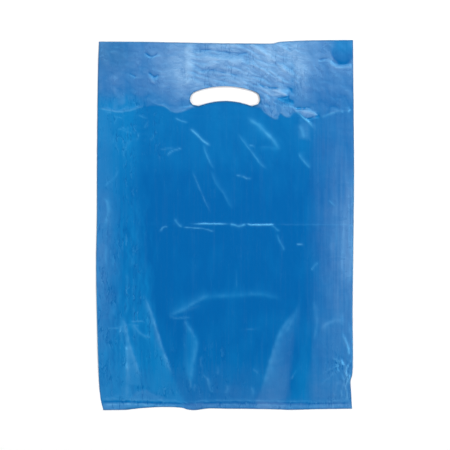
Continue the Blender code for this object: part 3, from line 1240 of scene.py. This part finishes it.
    def finish(self, x: Grid, y: Grid) -> dict[Share, Grid]:
        """Return the shares that the film's finish takes.

        Args:
            x: Places across the bag.
            y: Places up the bag.

        Returns:
            Milkiness with painted sheen, painted highlights along creases, air with painted light and shade,
            and fine crinkle, each from 0 to 1.
        """
        _, pale, airy_and_shading = self.creases(x, y)
        _, facet_pale, facet_airy = self.facets(x, y)
        milky = np.maximum(self.hem.cover(x, y), 0.55 * ramp(-50.0, -110.0, y))
        milky = np.where(pale < 0.0, 1.0, milky)
        return {
            Share.HAZE_AND_SHEEN: np.clip(self.haze_and_sheen(x, y) + facet_pale + pale * milky, 0.0, 1.0),
            # Painted highlight along sharp creases in the body.
            Share.CREASED_HIGHLIGHT: np.clip(2.2 * pale * (1.0 - milky), 0.0, 1.0),
            # Air parting, which also paints light and shade on creases and facets.
            Share.AIR_AND_SHADING: np.clip(self.air(x, y) + airy_and_shading + facet_airy, 0.0, 1.0),
            Share.CRINKLED: self.crinkled(x, y),
        }


def linear_colour(code: str) -> tuple[float, float, float, float]:
    """Return an sRGB hex colour as the linear colour that shaders take.

    Args:
        code: Six hex digits.

    Returns:
        Linear red, green, blue and an alpha of 1.
    """
    parts = [int(code[start : start + 2], 16) / 255.0 for start in (0, 2, 4)]
    linear = [part / 12.92 if part <= 0.04045 else ((part + 0.055) / 1.055) ** 2.4 for part in parts]
    return (*linear, 1.0)


def add_node(
    tree: Tree,
    kind: str,
    settings: dict[str, object] | None = None,
    inputs: dict[str | int, object] | None = None,
) -> bpy.types.Node:
    """Add a shader node with its settings, values and links.

    Args:
        tree: Node tree that takes the node.
        kind: The node's Blender type name.
        settings: Properties to set on the node.
        inputs: Values, or output sockets to link, by input name or number.

    Returns:
        The node.
    """
    node = tree.nodes.new(kind)
    for name, value in (settings or {}).items():
        setattr(node, name, value)
    for name, value in (inputs or {}).items():
        if isinstance(value, Socket):
            tree.links.new(value, node.inputs[name])
        else:
            node.inputs[name].default_value = value
    return node


@dataclass(frozen=True)
class BlownPolyethyleneFilm:
    """High-density polyethylene film with a blue pigment, blown as a tube.

    Blown film is clear and glossy where it is flat and untouched, so the pigment looks deep. It
    turns milky where it was creased or where air lies behind it, which shows as a paler blue;
    that paler blue also carries painted sheen and painted light on tilted film. Creases and
    crinkle crests carry painted highlights, and crinkle valleys, folds and edges painted shade.
    The blowing draws faint streaks along the tube.

    Attributes:
        deep: Colour where the layers lie in contact.
        open: Colour where air parts the layers, which also stands for painted light on tilted film.
        bloom_and_sheen: Colour of milky film, which also stands for painted sheen.
        crease: Painted highlight along a sharp crease in the body and on the fine crinkle's crests.
        valley: Painted shade at the bottom of a fine crinkle.
        thick_and_shade: Colour along folds, cut edges and the slot's rim: partly more layers of film seen
            edge on, partly painted shade where the film turns away.
        clear_roughness: Roughness of untouched film.
        hazy_roughness: Roughness of milky film.
        ior: Index of refraction of polyethylene.
        gloss: Specular level of the film, a little over the usual 0.5 for its smooth skin.
        gloss_tint: Tint of the film's reflection, which the pigment under its skin colours.
        streak_mm: Spacing of the streaks along the tube.
        bend_mm: Spacing of the bends that keep the crinkles from running straight.
        bend_reach_mm: How far the bends shift a crinkle.
        crinkle_mm: Spacing of the fine crinkles, drawn about twice as coarse as the finest ones.
        facet_mm: Width of the facets that crumpled film breaks into.
        ripple_mm: Spacing of the small ripples that run across handled film.
        lean: Angle of the facets and the ripples, in degrees.
        valley_line: Level and width of the crinkle's contour that takes painted shade as a valley.
        crest_line: Level and width of the crinkle's contour that takes a painted highlight.
        dip_line: Level and width of the ripples' contour that takes painted shade.
        rise_line: Level and width of the ripples' contour that takes painted sheen.
        crest_share: How far a crinkle's crest takes the painted highlight.
        valley_share: How far a crinkle's valley takes the painted shade.
        edge_share: How far a fold, a cut edge or the slot's rim takes its darker colour, partly painted
            shade.
        facet_depth_mm: Depth of the bump between facets.
        valley_depth_mm: Depth of the bump along a crinkle's valley.
    """

    deep: str = "005FA6"
    open: str = "0A7ABC"
    bloom_and_sheen: str = "8CB2DA"
    crease: str = "5CB4E8"
    valley: str = "08569A"
    thick_and_shade: str = "1B5A88"
    clear_roughness: float = 0.22
    hazy_roughness: float = 0.36
    ior: float = 1.53
    gloss: float = 0.65
    gloss_tint: tuple[float, float, float, float] = (0.2, 0.68, 1.0, 1.0)
    streak_mm: float = 2.4
    bend_mm: float = 14.0
    bend_reach_mm: float = 9.0
    crinkle_mm: float = 5.0
    facet_mm: float = 5.0
    ripple_mm: float = 4.0
    lean: float = 18.0
    valley_line: tuple[float, float] = (0.5, 0.06)
    crest_line: tuple[float, float] = (0.56, 0.05)
    dip_line: tuple[float, float] = (0.47, 0.05)
    rise_line: tuple[float, float] = (0.53, 0.05)
    crest_share: float = 0.26
    valley_share: float = 0.85
    edge_share: float = 0.75
    facet_depth_mm: float = 0.16
    valley_depth_mm: float = 0.03

    def contour(self, tree: Tree, value: Socket, line: tuple[float, float]) -> Socket:
        """Return a socket that is 1 where a value crosses a level and 0 a width off it.

        Args:
            tree: Node tree of the material.
            value: Socket with the value.
            line: The level whose contour is wanted, and the difference at which it has faded.

        Returns:
            The contour's socket.
        """
        level, width = line
        side = add_node(tree, "ShaderNodeMath", {"operation": "SUBTRACT"}, {0: value, 1: level}).outputs[0]
        off = add_node(tree, "ShaderNodeMath", {"operation": "ABSOLUTE"}, {0: side}).outputs[0]
        fade = {"Value": off, "From Max": width, "To Min": 1.0, "To Max": 0.0}
        return add_node(tree, "ShaderNodeMapRange", inputs=fade).outputs["Result"]

    def grain(
        self,
        tree: Tree,
        place: Socket,
        spacing_mm: float,
        stretch: tuple[float, float, float],
        roughness: float,
        lean: float = 0.0,
    ) -> Socket:
        """Return a stretched noise.

        Args:
            tree: Node tree of the material.
            place: Socket with the place on the bag.
            spacing_mm: Spacing of the noise across its grain.
            stretch: Density of the noise along each axis, where 1 is the spacing.
            roughness: Weight of the noise's finer octaves.
            lean: Angle that the grain is turned by, in degrees.

        Returns:
            The noise's socket, from 0 to 1.
        """
        size = 1.0 / (spacing_mm * MM)
        laid = {
            "Vector": place,
            "Rotation": (0.0, 0.0, math.radians(lean)),
            "Scale": tuple(size * share for share in stretch),
        }
        vector = add_node(tree, "ShaderNodeMapping", inputs=laid).outputs["Vector"]
        noise = {"Vector": vector, "Scale": 1.0, "Detail": 3.0, "Roughness": roughness}
        return add_node(tree, "ShaderNodeTexNoise", inputs=noise).outputs["Fac"]

    def crinkle(
        self, tree: Tree, place: Socket, cover: tuple[Socket, Socket, Socket]
    ) -> tuple[Socket, Socket]:
        """Return the valleys and the crests of the fine crinkle, which take painted shade and painted
        highlights.

        The crinkle comes in patches and breaks off along the tube's streaks.

        Args:
            tree: Node tree of the material.
            place: Socket with the bent place on the bag.
            cover: Sockets of the bends, the streaks and the share of crinkled film.

        Returns:
            The sockets of the valleys and of the crests, from 0 to 1.
        """
        bends, streaks, crinkled = cover
        patch = {"Value": bends, "From Min": 0.42, "From Max": 0.64}
        patchy = add_node(tree, "ShaderNodeMapRange", inputs=patch).outputs["Result"]
        breaks = {"Value": streaks, "From Min": 0.42, "From Max": 0.58}
        broken = add_node(tree, "ShaderNodeMapRange", inputs=breaks).outputs["Result"]
        patchy = add_node(tree, "ShaderNodeMath", TIMES, {0: patchy, 1: broken}).outputs[0]
        shown = add_node(tree, "ShaderNodeMath", TIMES, {0: patchy, 1: crinkled}).outputs[0]
        ridges = self.grain(tree, place, self.crinkle_mm, (1.0, 0.3, 1.0), 0.55)
        lines = [self.contour(tree, ridges, line) for line in (self.valley_line, self.crest_line)]
        valleys, crests = [
            add_node(tree, "ShaderNodeMath", TIMES, {0: line, 1: shown}).outputs[0] for line in lines
        ]
        return valleys, crests

    def ripple(self, tree: Tree, place: Socket, haze_and_sheen: Socket) -> Socket:
        """Return the ripples of handled film, above 0 where they take painted sheen and below 0 where they
        take painted shade.

        Args:
            tree: Node tree of the material.
            place: Socket with the bent place on the bag.
            haze_and_sheen: Socket with the film's haze, which handling leaves.

        Returns:
            The ripples' socket, from -1 to 1.
        """
        ripples = self.grain(tree, place, self.ripple_mm, (0.28, 1.0, 1.0), 0.6, self.lean)
        touched = {"Value": haze_and_sheen, "From Min": 0.25, "From Max": 0.6}
        handled = add_node(tree, "ShaderNodeMapRange", inputs=touched).outputs["Result"]
        dip = self.contour(tree, ripples, self.dip_line)
        rise = self.contour(tree, ripples, self.rise_line)
        change = add_node(tree, "ShaderNodeMath", {"operation": "SUBTRACT"}, {0: rise, 1: dip}).outputs[0]
        return add_node(tree, "ShaderNodeMath", TIMES, {0: change, 1: handled}).outputs[0]

    def facets(self, tree: Tree, place: Socket, haze_and_sheen: Socket) -> tuple[Socket, Socket]:
        """Return the facets that milky film breaks into, with a painted change of sheen from facet to facet.

        Args:
            tree: Node tree of the material.
            place: Socket with the bent place on the bag.
            haze_and_sheen: Socket with the film's haze.

        Returns:
            The sockets of the facets' height, and of the milkiness with its painted change of sheen from
            facet to facet.
        """
        size = 1.0 / (self.facet_mm * MM)
        laid = {
            "Vector": place,
            "Rotation": (0.0, 0.0, math.radians(self.lean)),
            "Scale": (size * 0.4, size, 0.0),
        }
        vector = add_node(tree, "ShaderNodeMapping", inputs=laid).outputs["Vector"]
        cells = add_node(tree, "ShaderNodeTexVoronoi", inputs={"Vector": vector, "Scale": 1.0}).outputs
        # Each facet takes its own painted sheen.
        shade = add_node(tree, "ShaderNodeSeparateColor", inputs={"Color": cells["Color"]}).outputs["Red"]
        change = {"Value": shade, "To Min": 0.86, "To Max": 1.14}
        tint = add_node(tree, "ShaderNodeMapRange", inputs=change).outputs["Result"]
        height = add_node(tree, "ShaderNodeMath", TIMES, {0: cells["Distance"], 1: haze_and_sheen}).outputs[0]
        return height, add_node(tree, "ShaderNodeMath", TIMES, {0: haze_and_sheen, 1: tint}).outputs[0]

    def colour(self, tree: Tree, shares: dict[Share, Socket], marks: dict[str, Socket]) -> Socket:
        """Return the film's colour with painted sheen, highlights, valley shade and darker edges.

        Args:
            tree: Node tree of the material.
            shares: Sockets of the mesh's shares.
            marks: Sockets of the crinkle's valleys and crests, for painted shade and highlights, and of the
                film's milk with its painted sheen.

        Returns:
            The colour's socket.
        """
        valleys = marks["valleys"]
        # Air gives a lighter blue that also paints light on tilted film; the crinkle's valleys push it back
        # to the deeper blue as painted shade.
        parted_and_shading = {0: valleys, 1: -0.4, 2: shares[Share.AIR_AND_SHADING]}
        parted_and_shading = add_node(tree, "ShaderNodeMath", TIMES_PLUS | CLAMPED, parted_and_shading).outputs[0]
        pigment = {"Factor": parted_and_shading, 6: linear_colour(self.deep), 7: linear_colour(self.open)}
        colour = add_node(tree, "ShaderNodeMix", BLEND, pigment).outputs[2]
        # Painted highlight on the crinkle's crests and along the body's creases.
        lit = {0: marks["crests"], 1: self.crest_share, 2: shares[Share.CREASED_HIGHLIGHT]}
        lit = add_node(tree, "ShaderNodeMath", TIMES_PLUS | CLAMPED, lit).outputs[0]
        # Painted shade in the crinkle's valleys.
        sunk_shade = add_node(tree, "ShaderNodeMath", TIMES, {0: valleys, 1: self.valley_share}).outputs[0]
        # Darker folds, cut edges and slot rim, partly more layers of film and partly painted shade, and a
        # darker hem corner.
        edge = {0: shares[Share.EDGE], 1: self.edge_share}
        darkened = add_node(tree, "ShaderNodeMath", TIMES, edge).outputs[0]
        layers = ((marks["milk"], self.bloom_and_sheen), (lit, self.crease), (sunk_shade, self.valley), (darkened, self.thick_and_shade))
        for share, tint in layers:
            blend = {"Factor": share, 6: colour, 7: linear_colour(tint)}
            colour = add_node(tree, "ShaderNodeMix", BLEND, blend).outputs[2]
        return colour

    def material(self) -> bpy.types.Material:
        """Return the film's material."""
        material = bpy.data.materials.new("blown_polyethylene_film")
        material.use_nodes = True
        tree = material.node_tree
        tree.nodes.clear()
        place = add_node(tree, "ShaderNodeTexCoord").outputs["Object"]
        shares = {
            share: add_node(tree, "ShaderNodeAttribute", {"attribute_name": share.value}).outputs["Fac"]
            for share in Share
        }
        streaks = self.grain(tree, place, self.streak_mm, (1.0, 0.025, 1.0), 0.6)
        bent = {"Vector": place, "Scale": 1.0 / (self.bend_mm * MM), "Detail": 2.0}
        bends = add_node(tree, "ShaderNodeTexNoise", inputs=bent).outputs
        reach = self.bend_reach_mm * MM
        shift = {0: bends["Color"], 1: (reach, reach, 0.0), 2: place}
        wander = add_node(tree, "ShaderNodeVectorMath", TIMES_PLUS, shift).outputs["Vector"]
        cover = (bends["Fac"], streaks, shares[Share.CRINKLED])
        valleys, crests = self.crinkle(tree, wander, cover)
        facet_height, milk = self.facets(tree, wander, shares[Share.HAZE_AND_SHEEN])
        ripples = self.ripple(tree, wander, shares[Share.HAZE_AND_SHEEN])

        # The crinkle's valleys take some milk out, as painted shade.
        milk = add_node(tree, "ShaderNodeMath", TIMES_PLUS, {0: valleys, 1: -0.1, 2: milk}).outputs[0]
        # The ripples add milk as painted sheen on their rises and take it out as painted shade in their dips.
        milk = add_node(tree, "ShaderNodeMath", TIMES_PLUS, {0: ripples, 1: 0.12, 2: milk}).outputs[0]
        faint = add_node(tree, "ShaderNodeMath", TIMES_PLUS, {0: streaks, 1: 0.06, 2: -0.03}).outputs[0]
        added = {"operation": "ADD"} | CLAMPED
        milk = add_node(tree, "ShaderNodeMath", added, {0: milk, 1: faint}).outputs[0]
        matt = {"Value": milk, "From Max": 0.6, "To Min": self.clear_roughness, "To Max": self.hazy_roughness}
        bump = {"Height": facet_height, "Distance": self.facet_depth_mm * MM, "Strength": 1.0}
        normal = add_node(tree, "ShaderNodeBump", inputs=bump).outputs["Normal"]
        bump = {"Height": valleys, "Distance": self.valley_depth_mm * MM, "Strength": 1.0, "Normal": normal}
        inputs = {
            "Base Color": self.colour(tree, shares, {"valleys": valleys, "crests": crests, "milk": milk}),
            "Roughness": add_node(tree, "ShaderNodeMapRange", inputs=matt).outputs["Result"],
            "IOR": self.ior,
            "Normal": add_node(tree, "ShaderNodeBump", inputs=bump).outputs["Normal"],
            "Specular IOR Level": self.gloss,
            "Specular Tint": self.gloss_tint,
        }
        shader = add_node(tree, "ShaderNodeBsdfPrincipled", inputs=inputs)
        add_node(tree, "ShaderNodeOutputMaterial", inputs={"Surface": shader.outputs["BSDF"]})
        return material


@dataclass
class CarrierBag:
    """The whole bag, as one sheet of film.

    Attributes:
        outline: The flat bag's outline.
        slot: The hand slot.
        relief: Heights and haze of the panels.
        film: The film's finish.
        front_columns: Mesh columns across the front panel.
        back_columns: Mesh columns across the back panel.
        fold_columns: Mesh columns round each side fold.
        body_rows: Mesh rows from the foot to the mouth.
        hem_rows: Mesh rows down the hem.
        mouth_rows: Mesh rows round the fold at the mouth.
        least_gap: Least distance between the panels, in millimetres.
        hem_lead: How far over its free edge the hem starts to part the panels, in millimetres.
        slot_shade_shift: Shift of the slot's painted dark rim, narrower over the slot and wider under it.
    """

    outline: Outline = Outline()
    slot: HandSlot = HandSlot()
    relief: Relief = Relief()
    film: BlownPolyethyleneFilm = BlownPolyethyleneFilm()
    front_columns: int = 236
    back_columns: int = 34
    fold_columns: int = 6
    body_rows: int = 318
    hem_rows: int = 20
    mouth_rows: int = 3
    least_gap: float = 0.12
    hem_lead: float = 6.0
    slot_shade_shift: tuple[float, float] = (0.9, -0.7)

    def rows(self) -> tuple[Grid, Grid]:
        """Return the rows of the sheet, from the skirt up, over the mouth and down the hem.

        Returns:
            The share of the bag's length at each row, and the share of the hem's gap that the
            film lies inside the outer layer.
        """
        fold_share = self.relief.hem.gap / 2.0 / self.outline.length
        even = np.linspace(0.0, 1.0, self.body_rows + 1)
        # The rows lie closer at the crosswise fold and in the hem than in the plain body.
        row_share = (0.0, 0.407, 0.46, 0.68, 1.0)
        length_share = (0.0, 0.488, 0.512, 0.775, 1.0)
        body = np.interp(even, row_share, length_share) * (1.0 - fold_share)
        turn = np.linspace(0.0, math.pi, self.mouth_rows + 1)[1:]
        over = 1.0 - fold_share + fold_share * np.sin(turn)
        hem = np.linspace(0.0, 1.0, self.hem_rows + 1)[1:]
        share = np.concatenate([body, over, 1.0 + hem])
        inset = np.concatenate([np.zeros(len(body)), (1.0 - np.cos(turn)) / 2.0, np.ones(len(hem))])
        return share, inset

    def columns(self) -> tuple[Grid, Grid]:
        """Return the columns round the tube, the last one next to the first.

        Returns:
            The share of the width at each column, and the angle round the side fold: -90
            degrees on the back panel, 90 on the front panel and between them on a fold.
        """
        back = np.linspace(0.0, 1.0, self.back_columns + 1)
        # The back's columns lie closer in its middle, where the slot is.
        wide = 0.5 + (back - 0.5) * (0.4 + 0.6 * (2.0 * np.abs(back - 0.5)) ** 2)
        fold = np.linspace(-90.0, 90.0, self.fold_columns + 1)[1:-1]
        front = np.linspace(1.0, 0.0, self.front_columns + 1)
        share = np.concatenate([wide, np.ones(len(fold)), front, np.zeros(len(fold))])
        angle = np.concatenate(
            [np.full(len(wide), -90.0), fold, np.full(len(front), 90.0), fold[::-1]]
        )
        return share, np.radians(angle)

    def sheet_points(self) -> Grid:
        """Return the film's points, as rows by columns by x, y and z in millimetres.

        The punch presses all the layers together round the slot, so the back follows the front there.
        """
        row_share, inset = self.rows()
        column_share, angle = self.columns()
        u, v = np.meshgrid(column_share, row_share)
        turn, inset = np.meshgrid(angle, inset)
        outline = self.outline
        x_guess = outline.half_width * (2.0 * u - 1.0)
        foot = outline.edge_y(outline.foot_edge, x_guess)
        mouth = outline.edge_y(outline.mouth_edge, x_guess)
        hem_y = self.relief.hem.edge_y(x_guess)
        y = np.where(v <= 1.0, foot + (mouth - foot) * v, mouth + (hem_y - mouth) * (v - 1.0))
        left = outline.edge_x(outline.left_edge, y)
        right = outline.edge_x(outline.right_edge, y)
        x = left + (right - left) * u

        front = self.relief.front(x, y, left, right)
        back = self.relief.back(x, y)
        gap = self.relief.hem.gap * inset
        hem_edge = self.relief.hem.edge_y(x)
        least = self.least_gap + 2.0 * self.relief.hem.gap * ramp(hem_edge - self.hem_lead, hem_edge, y)
        front = np.maximum(front, back + least)
        clinging = ramp(self.slot.width, 1.0, self.slot.clearance(x, y))
        back = back + (front - least - back) * clinging
        middle = (front + back) / 2.0
        radius = (front - back) / 2.0 - gap
        z = middle + radius * np.sin(turn)
        on_fold = np.abs(np.cos(turn)) > 1e-6
        outwards = np.where(u > 0.5, 1.0, -1.0)
        room = (front - back) / 2.0
        x = np.where(on_fold, x + outwards * (radius * np.cos(turn) - room), x)
        # A panel ends one fold radius short of the outline, and the power keeps that to its edge.
        inside_edge = np.where(on_fold, 0.0, room * (2.0 * u - 1.0))
        x = x - inside_edge * np.abs(2.0 * u - 1.0) ** 40
        return np.stack([x, y, z], axis=-1)

    def edge_gap(self, x: Grid, y: Grid) -> Grid:
        """Return the distance of each place from the nearest fold or cut edge."""
        outline = self.outline
        over_slot = y > self.slot.top - 0.5 * self.slot.width
        gaps = [
            x - outline.edge_x(outline.left_edge, y),
            outline.edge_x(outline.right_edge, y) - x,
            outline.edge_y(outline.mouth_edge, x) - y,
            y - outline.edge_y(outline.foot_edge, x),
            self.slot.clearance(x, y) + np.where(over_slot, *self.slot_shade_shift),
        ]
        return np.minimum.reduce(gaps)

    def build(self) -> bpy.types.Object:
        """Return the bag, with its hand slot cut and its film on it."""
        points = self.sheet_points()
        rows, columns = points.shape[:2]
        index = np.arange(rows * columns).reshape(rows, columns)
        next_column = np.roll(index, -1, axis=1)
        faces = np.stack(
            [index[:-1], next_column[:-1], next_column[1:], index[1:]],
            axis=-1,
        ).reshape(-1, 4)
        flat, kept = self.slot.punch(points.reshape(-1, 3), faces)
        used = np.unique(np.concatenate(kept))
        renumber = np.zeros(len(flat), int)
        renumber[used] = np.arange(len(used))
        mesh = bpy.data.meshes.new("carrier_bag_film")
        mesh.from_pydata((flat[used] * MM).tolist(), [], [renumber[face].tolist() for face in kept])
        mesh.update()
        across, up = flat[used, 0], flat[used, 1]
        shares = self.relief.finish(across, up)
        # Darker along folds, cut edges and the slot's rim, partly painted shade, and in the hem's left
        # corner.
        at_edge = ramp(1.7, 0.4, self.edge_gap(across, up))
        shares[Share.EDGE] = np.maximum(at_edge, self.relief.darkened(across, up))
        for share, amount in shares.items():
            attribute = mesh.attributes.new(share.value, "FLOAT", "POINT")
            attribute.data.foreach_set("value", amount.astype(np.float32))
        mesh.polygons.foreach_set("use_smooth", np.ones(len(mesh.polygons), bool))
        mesh.materials.append(self.film.material())
        bag = bpy.data.objects.new("carrier_bag_film", mesh)
        bpy.context.scene.collection.objects.link(bag)
        return bag


@dataclass(frozen=True)
class UncoatedPaper:
    """Uncoated white paper, whose pressed fibres leave it matt with a faint tooth.

    Attributes:
        white: Colour of the paper.
        shade: Colour between its fibres.
        roughness: Least and greatest roughness.
        fibre_mm: Width of the clumps of fibre, drawn ten times as coarse as real ones.
        tooth_mm: Depth of the hollows between the clumps.
    """

    white: str = "FBFBFB"
    shade: str = "F8F8F8"
    roughness: tuple[float, float] = (0.86, 0.95)
    fibre_mm: float = 1.5
    tooth_mm: float = 0.02

    def material(self) -> bpy.types.Material:
        """Return the paper's material."""
        material = bpy.data.materials.new("uncoated_white_paper")
        material.use_nodes = True
        tree = material.node_tree
        tree.nodes.clear()
        place = add_node(tree, "ShaderNodeTexCoord").outputs["Object"]
        fibre = {"Vector": place, "Scale": 1.0 / (self.fibre_mm * MM), "Detail": 4.0}
        clumps = add_node(tree, "ShaderNodeTexNoise", inputs=fibre).outputs["Fac"]
        low, high = self.roughness
        matt = {"Value": clumps, "To Min": low, "To Max": high}
        tooth = {"Height": clumps, "Distance": self.tooth_mm * MM, "Strength": 1.0}
        tint = {"Factor": clumps, 6: linear_colour(self.shade), 7: linear_colour(self.white)}
        inputs = {
            "Base Color": add_node(tree, "ShaderNodeMix", BLEND, tint).outputs[2],
            "Roughness": add_node(tree, "ShaderNodeMapRange", inputs=matt).outputs["Result"],
            "Normal": add_node(tree, "ShaderNodeBump", inputs=tooth).outputs["Normal"],
        }
        shader = add_node(tree, "ShaderNodeBsdfPrincipled", inputs=inputs)
        add_node(tree, "ShaderNodeOutputMaterial", inputs={"Surface": shader.outputs["BSDF"]})
        return material


@dataclass(frozen=True)
class Softbox:
    """A square of soft light that faces the table's middle.

    Attributes:
        name: The light's name.
        place: Where it hangs, in metres.
        size: Its width and height, in metres.
        power: Its power, in watts.
    """

    name: str
    place: tuple[float, float, float]
    size: tuple[float, float]
    power: float

    def hang(self) -> bpy.types.Object:
        """Return the light, aimed at the table's middle."""
        lamp = bpy.data.lights.new(self.name, "AREA")
        lamp.shape = "RECTANGLE"
        lamp.size, lamp.size_y = self.size
        lamp.energy = self.power
        light = bpy.data.objects.new(self.name, lamp)
        light.location = self.place
        light.rotation_mode = "QUATERNION"
        light.rotation_quaternion = (-Vector(self.place)).to_track_quat("-Z", "Y")
        bpy.context.scene.collection.objects.link(light)
        return light


@dataclass
class Studio:
    """The table, the lights and the camera.

    Attributes:
        softboxes: The lights round the table.
        lens_mm: The camera's focal length.
        frame_width: Width of the table that the picture takes in, in metres.
        camera_up: How far the camera hangs up the bag from its middle, in metres.
        table_half: Half the width of the table, in metres.
        room_light: Level of the grey light that the room gives from all round.
        paper: Finish of the table's paper.
    """

    softboxes: tuple[Softbox, ...] = (
        Softbox("window_over_mouth", (0.0, 0.85, 1.55), (1.5, 0.55), 13.0),
        Softbox("window_between", (0.8, 0.72, 1.5), (0.5, 0.5), 7.0),
        Softbox("window_right", (1.3, -0.25, 1.5), (0.5, 1.3), 20.0),
        Softbox("window_left", (-1.35, -0.25, 1.4), (0.4, 1.3), 16.0),
    )
    lens_mm: float = 135.0
    frame_width: float = 0.557
    camera_up: float = 0.0008
    table_half: float = 3.0
    room_light: float = 0.05
    paper: UncoatedPaper = UncoatedPaper()

    def table(self) -> bpy.types.Object:
        """Return the sheet of white paper that the bag lies on."""
        mesh = bpy.data.meshes.new("paper_table")
        half = self.table_half
        corners = [(-half, -half, 0.0), (half, -half, 0.0), (half, half, 0.0), (-half, half, 0.0)]
        mesh.from_pydata(corners, [], [(0, 1, 2, 3)])
        mesh.materials.append(self.paper.material())
        table = bpy.data.objects.new("paper_table", mesh)
        bpy.context.scene.collection.objects.link(table)
        return table

    def camera(self) -> bpy.types.Object:
        """Return the camera, straight above the bag's middle."""
        lens = bpy.data.cameras.new("overhead_camera")
        lens.lens = self.lens_mm
        lens.clip_end = 50.0
        camera = bpy.data.objects.new("overhead_camera", lens)
        distance = self.frame_width * lens.lens / lens.sensor_width
        camera.location = (0.0, self.camera_up, distance)
        bpy.context.scene.collection.objects.link(camera)
        bpy.context.scene.camera = camera
        return camera

    def set_up(self) -> None:
        """Build the table, hang the lights and place the camera."""
        self.table()
        for softbox in self.softboxes:
            softbox.hang()
        self.camera()
        scene = bpy.context.scene
        scene.view_settings.view_transform = "Standard"
        world = bpy.data.worlds.new("dim_room")
        world.use_nodes = True
        background = world.node_tree.nodes["Background"]
        background.inputs["Color"].default_value = (self.room_light,) * 3 + (1.0,)
        scene.world = world


def main() -> None:
    """Build the bag and its stage."""
    Studio().set_up()
    bag = CarrierBag().build()
    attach(bag, "root")
    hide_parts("bag")
    log.info("%s: %d faces", bag.name, len(bag.data.polygons))


if __name__ == "__main__":
    logging.basicConfig(level=logging.INFO, format="%(message)s")
    main()
